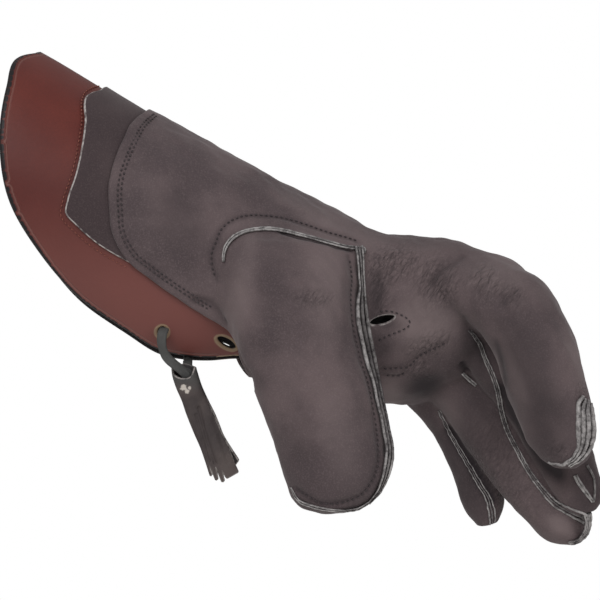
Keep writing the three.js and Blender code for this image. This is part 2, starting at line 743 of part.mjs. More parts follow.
// Middle of the tassel's open top, and the directions down its axis and to its right
function tasselFrame() {
  const top = lacePoint(laceHole).add(new THREE.Vector3(0, -flapDepth * wristDepth, 0));
  const drop = new THREE.Vector3(tasselDrop.right, -tasselDrop.toward, -tasselDrop.down);
  top.addScaledVector(drop, thongWidth);
  const axis = new THREE.Vector3(Math.sin(tasselLean), 0, -Math.cos(tasselLean));
  const aside = new THREE.Vector3(Math.cos(tasselLean), 0, Math.sin(tasselLean));
  return { top, axis, aside };
}

// Tassel head, a rolled tube open at the top, with its strips
function makeTassel() {
  const { top, axis, aside } = tasselFrame();
  const toward = away.clone().negate();
  const section = (along, radius) => ({
    center: top.clone().addScaledVector(axis, along),
    across: aside,
    through: toward,
    halfAcross: radius,
    halfThrough: radius * tasselFlatness,
  });
  const head = [section(0, tasselRadius), section(tasselHeadLength, tasselRadius)];
  const boreRadius = tasselRadius - tasselLeather;
  const bore = [section(-tasselLeather, boreRadius), section(tasselHeadLength / 2, boreRadius)];
  let whole = ovalLoft(head, tasselSides, 0).subtract(ovalLoft(bore, tasselSides, 0));
  for (const strip of tasselStrips) {
    whole = whole.add(tasselStrip(strip, section, aside, toward));
  }
  return largest(whole);
}

// One strip of the tassel, from inside the head to its free end, swaying more towards the end
function tasselStrip(strip, section, aside, toward) {
  const rootShare = 0.3;
  const rings = [rootShare, 0.6, 0.8, 1].map((share) => {
    const along = Math.max(share * strip.length * tasselLength, 0.8 * tasselHeadLength);
    const bend = 2 * strip.sway * tasselLength * (share - rootShare) ** 2;
    const center = section(along, 0).center;
    center.addScaledVector(aside, strip.aside * tasselRadius + bend);
    center.addScaledVector(toward, strip.toward * tasselRadius * tasselFlatness);
    const corner = (across, out) =>
      center
        .clone()
        .addScaledVector(aside, (across * strip.width * tasselRadius) / 2)
        .addScaledVector(toward, (out * tasselLeather) / 2);
    return [corner(-1, -1), corner(1, -1), corner(1, 1), corner(-1, 1)];
  });
  return loft(rings);
}

// Thong through its stops, grown by an amount
function thongSolid(grow) {
  const { top, axis, aside } = tasselFrame();
  const hole = lacePoint(laceHole);
  const flap = new THREE.Vector3(0, flapDepth * wristDepth, 0);
  const strandGap = 0.85 * thongThickness;
  const headAxes = { right: aside, up: axis.clone().negate() };
  const holeAxes = { right: new THREE.Vector3(1, 0, 0), up: new THREE.Vector3(0, 0, 1) };
  const places = {
    headLeft: { ...headAxes, point: top.clone().addScaledVector(aside, -strandGap) },
    headRight: { ...headAxes, point: top.clone().addScaledVector(aside, strandGap) },
    nearHole: { ...holeAxes, point: hole.clone().sub(flap) },
    midway: { ...holeAxes, point: hole },
    farHole: { ...holeAxes, point: hole.clone().add(flap).addScaledVector(upCuff, -farFlapDrop / 2) },
  };
  const stops = thongStops.map((row) => {
    const place = places[row.place];
    const turn = (right, back, up) =>
      place.right.clone().multiplyScalar(right).addScaledVector(away, back).addScaledVector(place.up, up);
    const outward = turn(row.faceRight, row.faceBack, row.faceUp).normalize();
    const point = place.point.clone().addScaledVector(turn(row.right, row.back, row.up), thongWidth);
    return {
      point: point.addScaledVector(outward, -thongThickness / 2),
      outward,
      width: thongWidth + 2 * grow,
      height: thongThickness + grow,
      sink: grow,
    };
  });
  return plyStrip(stops);
}

const hand = makeHand();
addPart("gauntlet", makeGauntlet(), redLeather);
addPart("suede_panel", makeSuede(), darkSuede);
addPart("palm_panel", hand.palm, nubuck);
addPart("back_panel", hand.back, nubuck);
addPart("thumb", makeThumb(), nubuck);
addPart("thumb_seam", makeThumbSeam(), rawEdge);
fingers.forEach((finger, index) => addPart(`${finger.name}_seam`, makeFingerSeam(index), rawEdge));
addPart("tassel_thong", thongSolid(0), thongLeather);
addPart("tassel", largest(makeTassel().subtract(thongSolid(seamGap))), thongLeather);

export default glove;
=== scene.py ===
import bpy
import numpy as np
from mathutils.bvhtree import BVHTree
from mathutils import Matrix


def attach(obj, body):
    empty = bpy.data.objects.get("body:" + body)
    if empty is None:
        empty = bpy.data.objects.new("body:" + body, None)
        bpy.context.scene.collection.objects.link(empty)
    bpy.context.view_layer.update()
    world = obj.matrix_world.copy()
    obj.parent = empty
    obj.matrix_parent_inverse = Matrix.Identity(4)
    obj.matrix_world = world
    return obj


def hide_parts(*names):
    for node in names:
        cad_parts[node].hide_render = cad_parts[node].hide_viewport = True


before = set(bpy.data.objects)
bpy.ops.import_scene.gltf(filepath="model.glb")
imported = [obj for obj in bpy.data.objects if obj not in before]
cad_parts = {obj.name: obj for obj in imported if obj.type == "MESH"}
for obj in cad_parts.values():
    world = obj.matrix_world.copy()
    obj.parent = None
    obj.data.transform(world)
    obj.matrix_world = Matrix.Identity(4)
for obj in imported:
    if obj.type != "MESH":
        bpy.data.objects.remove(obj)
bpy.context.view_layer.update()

# Falconry glove for the left hand: millimetres are turned to metres as each mesh is made.
# The origin is the middle of the wrist, +X runs to the fingers and the viewer is at -Y.
slope = np.radians(27.7)  # how steeply the cuff rises to the left
alongArm = np.array([np.cos(slope), 0, -np.sin(slope)])
upArm = np.array([np.sin(slope), 0, np.cos(slope)])
away = np.array([0.0, 1.0, 0.0])
leather = {"gauntlet": 2.4, "suede": 1.6, "nubuck": 1.8, "gap": 0.3}
suedeLift = -leather["nubuck"] - leather["gap"]
gauntletLift = suedeLift - leather["suede"] - leather["gap"]


# A cubic curve through a table's rows, whose slope at each row comes from its two neighbours
def smoothRows(stops, rows, at):
    stops, rows, at = np.asarray(stops, float), np.asarray(rows, float), np.asarray(at, float)
    slopes = np.gradient(rows, stops, axis=0)
    here = np.clip(np.searchsorted(stops, at) - 1, 0, len(stops) - 2)
    step = (stops[here + 1] - stops[here])[..., None]
    t = np.clip((at - stops[here])[..., None] / step, -0.5, 1.5)
    startPart = (1 + 2 * t) * (1 - t) ** 2 * rows[here] + t * (1 - t) ** 2 * step * slopes[here]
    endPart = t * t * (3 - 2 * t) * rows[here + 1] + t * t * (t - 1) * step * slopes[here + 1]
    return startPart + endPart


def unit(vectors):
    return vectors / np.maximum(np.linalg.norm(vectors, axis=-1, keepdims=True), 1e-12)


def smoothStep(values, low, high):
    t = np.clip((values - low) / (high - low), 0, 1)
    return t * t * (3 - 2 * t)


# Gentle noise: a sum of sine waves of about one length, each running its own way
def ripple(points, size, seed, waves=9):
    rng = np.random.default_rng(seed)
    ways = unit(rng.normal(size=(waves, 3))) * rng.uniform(0.7, 1.5, (waves, 1)) * 2 * np.pi / size
    return np.sin(points @ ways.T + rng.uniform(0, 6.28, waves)).sum(-1) / np.sqrt(waves)


# Two triangles for every cell of a grid, whose columns may close on themselves
def gridFaces(rows, columns, closed=False):
    i, j = np.meshgrid(np.arange(rows - 1), np.arange(columns if closed else columns - 1), indexing="ij")
    nextJ = (j + 1) % columns
    a, b, c, d = i * columns + j, i * columns + nextJ, (i + 1) * columns + nextJ, (i + 1) * columns + j
    return np.concatenate([np.stack([a, c, b], -1).reshape(-1, 3), np.stack([a, d, c], -1).reshape(-1, 3)])


# A vertex normal is the sum of the cross products of its triangles' sides
def vertexNormals(points, faces):
    corner = points[faces]
    cross = np.cross(corner[:, 1] - corner[:, 0], corner[:, 2] - corner[:, 0])
    total = np.zeros_like(points)
    for k in range(3):
        for axis in range(3):
            total[:, axis] += np.bincount(faces[:, k], cross[:, axis], len(points))
    return unit(total)


# Keeps the side of a mesh where the field is positive. A cut point lies where the field is zero along its
# edge.
def trimmed(rows, faces, field):
    field, rows = field.copy(), rows.copy()
    edges = np.unique(np.sort(faces[:, [0, 1, 1, 2, 2, 0]].reshape(-1, 2), axis=1), axis=0)
    for near, far in ((0, 1), (1, 0)):  # a point very near the cut moves onto it, so no sliver is left
        a, b = edges[:, near], edges[:, far]
        crossing = field[a] * field[b] < 0
        a, b = a[crossing], b[crossing]
        share = field[a] / (field[a] - field[b])
        close = share < 0.22
        a, b, share = a[close], b[close], share[close]
        rows[a] = rows[a] + share[:, None] * (rows[b] - rows[a])
        field[a] = 0
    crossing = field[edges[:, 0]] * field[edges[:, 1]] < 0
    cut = edges[crossing]
    share = field[cut[:, 0]] / (field[cut[:, 0]] - field[cut[:, 1]])
    added = rows[cut[:, 0]] + share[:, None] * (rows[cut[:, 1]] - rows[cut[:, 0]])
    keys = cut[:, 0].astype(np.int64) * len(rows) + cut[:, 1]
    order = np.argsort(keys)

    def between(a, b):
        key = np.minimum(a, b).astype(np.int64) * len(rows) + np.maximum(a, b)
        return len(rows) + order[np.searchsorted(keys, key, sorter=order)]

    sign = np.sign(field[faces]).astype(int)
    kept = [faces[(sign.min(1) >= 0) & (sign.max(1) > 0)]]
    for turn in range(3):
        tri, mark = np.roll(faces, turn, axis=1), np.roll(sign, turn, axis=1)
        a, b, c = tri[(mark[:, 0] > 0) & (mark[:, 1] < 0) & (mark[:, 2] < 0)].T
        kept.append(np.stack([a, between(a, b), between(a, c)], -1))
        a, b, c = tri[(mark[:, 0] < 0) & (mark[:, 1] > 0) & (mark[:, 2] > 0)].T
        kept.append(np.stack([between(a, b), b, c], -1))
        kept.append(np.stack([between(a, b), c, between(a, c)], -1))
        a, b, c = tri[(mark[:, 0] > 0) & (mark[:, 1] < 0) & (mark[:, 2] == 0)].T
        kept.append(np.stack([a, between(a, b), c], -1))
        a, b, c = tri[(mark[:, 0] < 0) & (mark[:, 1] > 0) & (mark[:, 2] == 0)].T
        kept.append(np.stack([between(a, b), b, c], -1))
    faces = np.concatenate(kept)
    used, faces = np.unique(faces, return_inverse=True)
    return np.concatenate([rows, added])[used], faces.reshape(-1, 3)


# A leather sheet: the outer face, the same face moved in by the thickness, and a rounded cut edge between
# them.
# The rim point k of n lies between both faces and bulges outwards by a half sine.
def thickened(rows, faces, thickness, bulge=0.45, steps=4):
    points = rows[:, :3]
    normals = vertexNormals(points, faces)
    inner = points - normals * thickness
    directed = faces[:, [0, 1, 1, 2, 2, 0]].reshape(-1, 2)
    forward = directed[:, 0].astype(np.int64) * len(points) + directed[:, 1]
    back = directed[:, 1].astype(np.int64) * len(points) + directed[:, 0]
    rimEdges = directed[~np.isin(forward, back)]
    outward = np.zeros_like(points)
    edgeWay = np.cross(unit(points[rimEdges[:, 1]] - points[rimEdges[:, 0]]), normals[rimEdges[:, 0]])
    for k in range(2):
        for axis in range(3):
            outward[:, axis] += np.bincount(rimEdges[:, k], edgeWay[:, axis], len(points))
    outward = unit(outward)
    rim = np.unique(rimEdges)
    place = np.full(len(points), -1)
    place[rim] = np.arange(len(rim))
    rings = []
    for k in range(1, steps):
        share = k / steps
        middle = points[rim] * (1 - share) + inner[rim] * share
        rings.append(middle + outward[rim] * thickness * bulge * np.sin(np.pi * share))
    count = len(points)
    allFaces = [faces, faces[:, ::-1] + count]
    for k in range(steps):
        a = rimEdges if k == 0 else 2 * count + (k - 1) * len(rim) + place[rimEdges]
        b = rimEdges + count if k == steps - 1 else 2 * count + k * len(rim) + place[rimEdges]
        allFaces.append(np.stack([a[:, 1], a[:, 0], b[:, 0]], -1))
        allFaces.append(np.stack([a[:, 1], b[:, 0], b[:, 1]], -1))
    allPoints = np.concatenate([points, inner, *rings])
    side = np.concatenate([np.zeros(count), np.full(count, 2.0), np.ones(len(rim) * (steps - 1))])
    side[rim] = 0.6
    extra = np.concatenate([rows[:, 3:], rows[:, 3:], *[rows[rim, 3:]] * (steps - 1)])
    return allPoints, np.concatenate(allFaces), side, extra, points[rim]


# Shortest distance from points to a cloud of line samples
def nearest(points, samples):
    found = np.empty(len(points))
    for start in range(0, len(points), 4000):
        block = points[start:start + 4000]
        found[start:start + 4000] = np.sqrt(((block[:, None] - samples[None]) ** 2).sum(-1).min(1))
    return found


# A mesh object in metres from points in millimetres, with float attributes for its material
def makeObject(name, points, faces, materials, attributes=None, faceMaterial=None):
    mesh = bpy.data.meshes.new(name)
    mesh.vertices.add(len(points))
    mesh.vertices.foreach_set("co", (np.asarray(points) * 0.001).astype(np.float32).ravel())
    mesh.loops.add(faces.size)
    mesh.loops.foreach_set("vertex_index", faces.astype(np.int32).ravel())
    mesh.polygons.add(len(faces))
    mesh.polygons.foreach_set("loop_start", np.arange(0, faces.size, faces.shape[1], dtype=np.int32))
    mesh.polygons.foreach_set("use_smooth", np.ones(len(faces), bool))
    for material in materials:
        mesh.materials.append(material)
    if faceMaterial is not None:
        mesh.polygons.foreach_set("material_index", faceMaterial.astype(np.int32))
    mesh.update(calc_edges=True)
    for key, values in (attributes or {}).items():
        mesh.attributes.new(key, "FLOAT", "POINT").data.foreach_set("value", values.astype(np.float32))
    piece = bpy.data.objects.new(name, mesh)
    bpy.context.scene.collection.objects.link(piece)
    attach(piece, "root")
    return piece


# Signed distance from points to a closed outline in its own plane, positive inside
def insideOutline(places, outline):
    start, end = outline, np.roll(outline, -1, axis=0)
    way = end - start
    found = np.empty(len(places))
    for first in range(0, len(places), 6000):
        p = places[first:first + 6000, None]
        share = np.clip(((p - start) * way).sum(-1) / np.maximum((way * way).sum(-1), 1e-9), 0, 1)
        gap = np.sqrt(((start + share[..., None] * way - p) ** 2).sum(-1).min(1))
        rising = (start[:, 1] > p[..., 1]) != (end[:, 1] > p[..., 1])
        lift = np.where(np.abs(way[:, 1]) < 1e-9, 1e-9, way[:, 1])
        crossAt = start[:, 0] + (p[..., 1] - start[:, 1]) * way[:, 0] / lift
        inside = ((rising & (p[..., 0] < crossAt)).sum(1) % 2) == 1
        found[first:first + 6000] = np.where(inside, gap, -gap)
    return found


# A smooth line through given corner points
def smoothLine(points, count):
    points = np.asarray(points, float)
    run = np.concatenate([[0], np.cumsum(np.linalg.norm(np.diff(points, axis=0), axis=1))])
    return smoothRows(run, points, np.linspace(0, run[-1], count))


# Forearm and palm on the nubuck's outer face. Columns are the distance along the arm, the middle's rise,
# how far it lies towards the viewer, half the height, half the depth and the twist in degrees.
bodyShape = np.array([
    [-180.4, -18.0, 0.0, 58.0, 46.9, 0],
    [-121.4, -17.2, 0.0, 56.7, 45.6, 0],
    [-98.4, -17.0, 0.0, 54.7, 44.3, 0],
    [-73.8, -16.3, 0.0, 53.2, 42.9, 0],
    [-49.2, -15.8, 0.0, 52.2, 41.6, 0],
    [-24.6, -12.8, 0.0, 48.8, 39.3, 0],
    [-4.9, -7.0, 0.0, 43.1, 37.0, 0],
    [12.3, -3.1, 0.0, 39.1, 35.0, 0],
    [24.6, 1.3, 0.0, 36.5, 31.0, 6],
    [37.8, 4.2, 0.0, 39.9, 28.0, 14],
    [56.3, 9.7, 0.8, 44.2, 25.0, 25],
    [72.2, 14.2, 1.7, 43.4, 21.5, 32],
    [83.6, 17.6, 1.7, 39.8, 16.5, 36],
    [89.8, 16.0, 1.7, 30.2, 10.5, 36],
])


def bodySection(along):
    rise, toward, halfAcross, halfThrough, twist = np.moveaxis(
        smoothRows(bodyShape[:, 0], bodyShape[:, 1:], along), -1, 0)
    twist = np.radians(twist)[..., None]
    across = upArm * np.cos(twist) - away * np.sin(twist)
    through = upArm * np.sin(twist) + away * np.cos(twist)
    center = along[..., None] * alongArm + rise[..., None] * upArm - toward[..., None] * away
    return center, across, through, halfAcross, halfThrough


# Oval round the arm: angle 0 is its top, a quarter turn back is the side at the viewer
def bodyPoint(along, angle, lift=0.0):
    center, across, through, halfAcross, halfThrough = bodySection(along)
    return (center + across * ((halfAcross + lift) * np.cos(angle))[..., None]
            + through * ((halfThrough + lift) * np.sin(angle))[..., None])


def bodyNormal(along, angle):
    step = 0.4
    lengthwise = bodyPoint(along + step, angle) - bodyPoint(along - step, angle)
    around = bodyPoint(along, angle + step / 40) - bodyPoint(along, angle - step / 40)
    return unit(np.cross(lengthwise, around))


# Angle on the near side of the arm for a rise above the arm's own line
def nearAngle(along, rise, lift=0.0):
    center, _, _, halfAcross, _ = bodySection(np.asarray(along, float))
    middle = center @ upArm
    return -np.arccos(np.clip((rise - middle) / (halfAcross + lift), -1, 1))


# The viewer's eye in millimetres, and the size of a pixel of the photograph in the plane Y = 0
viewer = {"eye": np.array([-1.35, -1000.0, -7.65]), "pixel": 0.45, "middle": 300}


# Place that shows at a pixel of the photograph and lies at a given Y
def atDepth(pixels, depth):
    scale = viewer["pixel"] * (depth - viewer["eye"][1]) / 1000
    right, down = (np.asarray(pixels, float) - viewer["middle"]).T * scale
    return viewer["eye"] * [1, 0, 1] + np.stack([right, np.broadcast_to(depth, right.shape), -down], -1)


def pixelOf(points):
    scale = viewer["pixel"] * (points[:, 1] - viewer["eye"][1]) / 1000
    return np.stack([(points[:, 0] - viewer["eye"][0]) / scale, (viewer["eye"][2] - points[:, 2]) / scale],
                    -1) + viewer["middle"]


# A line of pixels a step apart through given ones
def pixelLine(pixels, step=1.2):
    length = np.linalg.norm(np.diff(np.asarray(pixels, float), axis=0), axis=1).sum()
    return smoothLine(pixels, max(int(length / step), 4))


# A mesh that can tell what the viewer sees of it at a pixel
class Surface:
    def __init__(self, points, faces):
        self.faces, self.normals = faces, vertexNormals(points, faces)
        self.tree = BVHTree.FromPolygons(points.tolist(), faces.tolist(), all_triangles=True)

    def seen(self, pixels):
        ways = unit(atDepth(pixels, 0.0) - viewer["eye"])
        hits = [self.tree.ray_cast(viewer["eye"], way) for way in ways]
        found = np.array([hit[0] is not None for hit in hits])
        points = np.array([hit[0] for hit in hits if hit[0] is not None]).reshape(-1, 3)
        corners = self.faces[[hit[2] for hit in hits if hit[0] is not None]]
        return points, unit(self.normals[corners].sum(1)), found


# Nodes of a material: a short way to add one, set its sockets and link what it reads
class NodeBoard:
    def __init__(self, name):
        self.material = bpy.data.materials.new(name)
        self.material.use_nodes = True
        self.tree = self.material.node_tree
        self.tree.nodes.clear()
        self.output = self.add("ShaderNodeOutputMaterial")
        self.shader = self.add("ShaderNodeBsdfPrincipled")
        self.link(self.shader.outputs[0], self.output.inputs[0])
        self.place = self.add("ShaderNodeTexCoord").outputs["Object"]

    def add(self, kind, **settings):
        node = self.tree.nodes.new(kind)
        for key, value in settings.items():
            setattr(node, key, value)
        return node

    def link(self, output, socket):
        self.tree.links.new(output, socket)

    def put(self, socket, value):
        if hasattr(value, "links"):
            self.link(value, socket)
        else:
            socket.default_value = value

    def attribute(self, name):
        return self.add("ShaderNodeAttribute", attribute_name=name).outputs["Fac"]

    def stretched(self, scale, turn=(0, 0, 0)):
        turned, scaled = self.add("ShaderNodeMapping"), self.add("ShaderNodeMapping")
        turned.inputs["Rotation"].default_value = turn
        scaled.inputs["Scale"].default_value = scale
        self.link(self.place, turned.inputs["Vector"])
        self.link(turned.outputs[0], scaled.inputs["Vector"])
        return scaled.outputs[0]

    def noise(self, scale, detail=3.0, roughness=0.55, vector=None, distortion=0.0):
        node = self.add("ShaderNodeTexNoise")
        self.link(vector or self.place, node.inputs["Vector"])
        for key, value in (("Scale", scale), ("Detail", detail), ("Roughness", roughness),
                           ("Distortion", distortion)):
            node.inputs[key].default_value = value
        return node.outputs["Fac"]

    def cells(self, scale, vector=None, feature="DISTANCE_TO_EDGE"):
        node = self.add("ShaderNodeTexVoronoi", feature=feature)
        self.link(vector or self.place, node.inputs["Vector"])
        node.inputs["Scale"].default_value = scale
        return node.outputs["Distance"]

    def ramp(self, value, low, high, start=0.0, end=1.0):
        node = self.add("ShaderNodeMapRange", interpolation_type="SMOOTHSTEP")
        self.put(node.inputs["Value"], value)
        for key, number in (("From Min", low), ("From Max", high), ("To Min", start), ("To Max", end)):
            node.inputs[key].default_value = number
        return node.outputs["Result"]

    def math(self, operation, a, b=0.0):
        node = self.add("ShaderNodeMath", operation=operation)
        self.put(node.inputs[0], a)
        self.put(node.inputs[1], b)
        return node.outputs[0]

    def mix(self, factor, a, b, blend="MIX"):
        node = self.add("ShaderNodeMix", data_type="RGBA", blend_type=blend)
        self.put(node.inputs["Factor"], factor)
        for socket, value in ((node.inputs[6], a), (node.inputs[7], b)):
            self.put(socket, (*value, 1.0) if isinstance(value, tuple) and len(value) == 3 else value)
        return node.outputs[2]

    # Raises the surface by the given heights in millimetres, one after another
    def bumps(self, *layers):
        normal = None
        for height, millimetres in layers:
            node = self.add("ShaderNodeBump")
            self.put(node.inputs["Height"], height)
            node.inputs["Strength"].default_value = 1.0
            node.inputs["Distance"].default_value = millimetres * 0.001
            if normal:
                self.link(normal, node.inputs["Normal"])
            normal = node.outputs[0]
        self.link(normal, self.shader.inputs["Normal"])


# Colours in the photograph's own eight-bit values, turned to light values
def colour(red, green, blue):
    share = np.array([red, green, blue]) / 255
    return tuple(float(x) for x in np.where(share <= 0.04045, share / 12.92,
                                            ((share + 0.055) / 1.055) ** 2.4))


# Smooth dyed leather. Its edge is dyed black, with a creased groove just inside that carries a pale line of
# painted highlight, its lower part is lightened as painted light, and its back is grey flesh.
redLook = {"deep": colour(80, 33, 29), "warm": colour(98, 44, 37), "paintedLightBelow": colour(115, 71, 66),
           "dye": colour(26, 22, 23),
           "crease": colour(130, 96, 88), "punched": colour(140, 118, 96), "flesh": colour(56, 52, 54),
           "dyeWidth": 0.9, "creaseAt": 2.0}


def makeRedLeather(look):
    board = NodeBoard("redLeather")
    cloud = board.noise(14, 3)
    streak = board.noise(1, 3, vector=board.stretched((22, 60, 22), (0, 0.45, 0)))
    base = board.mix(board.ramp(board.math("ADD", cloud, board.math("MULTIPLY", streak, 0.5)), 0.55, 1.0),
                     look["deep"], look["warm"])
    pores = board.noise(900, 2)
    base = board.mix(board.ramp(pores, 0.35, 0.75, 0.0, 0.16), base, colour(66, 33, 30))
    # Painted light: the lower part of the cuff is lightened towards a paler red
    base = board.mix(board.math("MULTIPLY", board.attribute("low"), 0.7), base, look["paintedLightBelow"])
    edge = board.attribute("edge")
    crease = board.math("MULTIPLY", board.ramp(edge, look["creaseAt"] - 0.7, look["creaseAt"]),
                        board.ramp(edge, look["creaseAt"] + 0.7, look["creaseAt"]))
    # Pale line along the crease: a painted highlight on the edge's bevel; the bump below makes the crease a
    # groove
    base = board.mix(board.math("MULTIPLY", crease, 0.35), base, look["crease"])
    side = board.attribute("side")
    dyed = board.math("MAXIMUM", board.ramp(edge, look["dyeWidth"] + 0.4, look["dyeWidth"] - 0.2),
                      board.ramp(side, 0.65, 0.9))
    base = board.mix(dyed, base, look["dye"])
    base = board.mix(board.ramp(board.attribute("hole"), 1.3, 0.5), base, look["punched"])
    base = board.mix(board.ramp(side, 1.5, 1.9), base, look["flesh"])
    board.put(board.shader.inputs["Base Color"], base)
    board.put(board.shader.inputs["Roughness"], board.ramp(cloud, 0.3, 0.7, 0.42, 0.52))
    board.shader.inputs["Specular IOR Level"].default_value = 0.26
    board.bumps((board.noise(700, 3), 0.05), (board.noise(120, 2), 0.12), (crease, -0.25))
    return board.material


# Brushed leather: a fine nap, lighter clouds partly where it was rubbed and partly as painted highlight and
# sheen, painted shade where the shade attribute says, and creases where the wrinkle attribute says, with
# painted shade in their troughs and painted highlight on their ridges
napLook = {"dark": colour(71, 61, 63), "middle": colour(95, 82, 83), "light": colour(116, 103, 103),
           "cut": colour(150, 144, 142), "flesh": colour(92, 88, 88)}
suedeLook = {"dark": colour(58, 48, 50), "middle": colour(70, 59, 60), "light": colour(84, 73, 73),
             "cut": colour(176, 170, 167), "flesh": colour(70, 64, 66)}


def makeNap(name, look, grain):
    board = NodeBoard(name)
    cloud = board.noise(26, 4, 0.6)
    wide = board.noise(9, 2, 0.5)
    fibre = board.noise(1500, 4, 0.65)
    speck = board.noise(3200, 2, 0.6)
    base = board.mix(board.ramp(board.math("ADD", cloud, board.math("MULTIPLY", wide, 0.6)), 0.62, 1.0),
                     look["dark"], look["middle"])
    base = board.mix(board.ramp(fibre, 0.45, 0.75, 0.0, 0.42 * grain), base, look["light"])
    base = board.mix(board.ramp(speck, 0.5, 0.25, 0.0, 0.42 * grain), base, look["dark"])
    # Lighter nap: partly wear, partly painted highlight and sheen on faces turned to the light
    wornAndHighlight = board.attribute("wornAndHighlight")
    base = board.mix(board.math("MULTIPLY", wornAndHighlight, board.ramp(cloud, 0.3, 0.7, 0.5, 0.95)), base,
                     look["light"])
    shade = board.attribute("shade")
    soft = board.attribute("wrinkle")
    wrinkle = board.noise(1, 4, 0.6, board.stretched((800, 500, 170), (0, -0.52, 0)), 0.8)
    crack = board.ramp(board.cells(1, board.stretched((520, 500, 190), (0, -0.6, 0))), 0.0, 0.3)
    # Painted shade in the wrinkles' troughs and painted highlight on their ridges, since the bumps alone
    # barely show
    base = board.mix(board.math("MULTIPLY", soft, board.ramp(wrinkle, 0.5, 0.36, 0.0, 0.6)), base,
                     colour(44, 38, 39))
    base = board.mix(board.math("MULTIPLY", soft, board.ramp(wrinkle, 0.54, 0.7, 0.0, 0.6)), base,
                     look["light"])
    base = board.mix(board.math("MULTIPLY", soft, board.ramp(crack, 0.6, 0.1, 0.0, 0.3)), base,
                     colour(44, 38, 39))
    base = board.mix(board.math("MULTIPLY", shade, 0.85), base, colour(32, 28, 31))
    side = board.attribute("side")
    cut = board.math("MULTIPLY", board.ramp(side, 0.55, 0.75), board.ramp(side, 1.7, 1.3))
    ragged = board.ramp(board.noise(420, 3), 0.3, 0.65)
    base = board.mix(board.math("MULTIPLY", cut, ragged), base, look["cut"])
    base = board.mix(board.ramp(side, 1.5, 1.9), base, look["flesh"])
    board.put(board.shader.inputs["Base Color"], base)
    board.shader.inputs["Roughness"].default_value = 0.86
    board.shader.inputs["Specular IOR Level"].default_value = 0.22
    board.shader.inputs["Sheen Weight"].default_value = 0.16
    board.shader.inputs["Sheen Roughness"].default_value = 0.45
    board.shader.inputs["Sheen Tint"].default_value = (0.86, 0.8, 0.8, 1)
    board.bumps((board.math("MULTIPLY", crack, soft), 0.25), (board.math("MULTIPLY", wrinkle, soft), 0.9),
                (cloud, 0.35), (fibre, 0.07), (speck, 0.03))
    return board.material


# Raw cut plies: pale grey fibre, with painted shade deeper down between the plies
rawLook = {"dark": colour(70, 66, 67), "light": colour(165, 161, 160)}


def makeRaw(look):
    board = NodeBoard("rawPlies")
    fibre = board.noise(500, 4, 0.7)
    patch = board.noise(110, 3)
    base = board.mix(board.ramp(board.math("ADD", fibre, board.math("MULTIPLY", patch, 0.7)), 0.55, 1.1),
                     look["dark"], look["light"])
    # Painted shade down between the plies, from the shade attribute
    base = board.mix(board.math("MULTIPLY", board.attribute("shade"), 0.9), base, colour(58, 52, 54))
    board.put(board.shader.inputs["Base Color"], base)
    board.shader.inputs["Roughness"].default_value = 0.95
    board.shader.inputs["Specular IOR Level"].default_value = 0.15
    board.bumps((fibre, 0.35), (board.noise(1100, 2), 0.15))
    return board.material


# Thread: twisted strands across the stitch
def makeThread(name, dark, light):
    board = NodeBoard(name)
    strand = board.noise(1500, 2)
    board.put(board.shader.inputs["Base Color"], board.mix(board.ramp(strand, 0.3, 0.7), dark, light))
    board.shader.inputs["Roughness"].default_value = 0.8
    board.bumps((strand, 0.12))
    return board.material


# Thong and tassel: worn leather, greyer where the tone attribute is 1, with pale abraded spots
thongLook = {"brown": colour(80, 71, 69), "dark": colour(60, 53, 53), "grey": colour(70, 70, 69),
             "pale": colour(186, 178, 170), "cut": colour(140, 134, 131), "flesh": colour(52, 49, 50)}


def makeThongLeather(look):
    board = NodeBoard("thongLeather")
    cloud = board.noise(60, 4)
    lengthwise = board.noise(1, 4, 0.6, board.stretched((500, 500, 60), (0, -0.35, 0)))
    base = board.mix(board.ramp(cloud, 0.35, 0.65), look["dark"], look["brown"])
    base = board.mix(board.attribute("tone"), base, look["grey"])
    base = board.mix(board.ramp(lengthwise, 0.55, 0.75, 0.0, 0.3), base, look["dark"])
    base = board.mix(board.attribute("wornAndHighlight"), base, look["pale"])
    base = board.mix(board.math("MULTIPLY", board.attribute("shade"), 0.75), base, colour(34, 29, 31))
    side = board.attribute("side")
    cut = board.math("MULTIPLY", board.ramp(side, 0.55, 0.75), board.ramp(side, 1.7, 1.3))
    base = board.mix(board.math("MULTIPLY", cut, board.ramp(board.noise(420, 3), 0.3, 0.65)), base,
                     look["cut"])
    base = board.mix(board.ramp(side, 1.5, 1.9), base, look["flesh"])
    board.put(board.shader.inputs["Base Color"], base)
    board.shader.inputs["Roughness"].default_value = 0.7
    board.shader.inputs["Specular IOR Level"].default_value = 0.3
    board.bumps((lengthwise, 0.25), (board.noise(700, 3, 0.6), 0.12))
    return board.material


thongLeather = makeThongLeather(thongLook)
redLeather = makeRedLeather(redLook)
nubuck = makeNap("nubuck", napLook, 1.0)
darkSuede = makeNap("darkSuede", suedeLook, 1.2)
rawPlies = makeRaw(rawLook)
darkThread = makeThread("darkThread", colour(36, 30, 32), colour(62, 54, 56))
rustThread = makeThread("rustThread", colour(96, 50, 42), colour(132, 76, 62))
print("materials done")


# Both flaps of a cuff layer: the arm's oval between two places along it, cut to the outline seen from the
# side.
# The far flap's outline hangs a little lower.
farDrop = 5.5


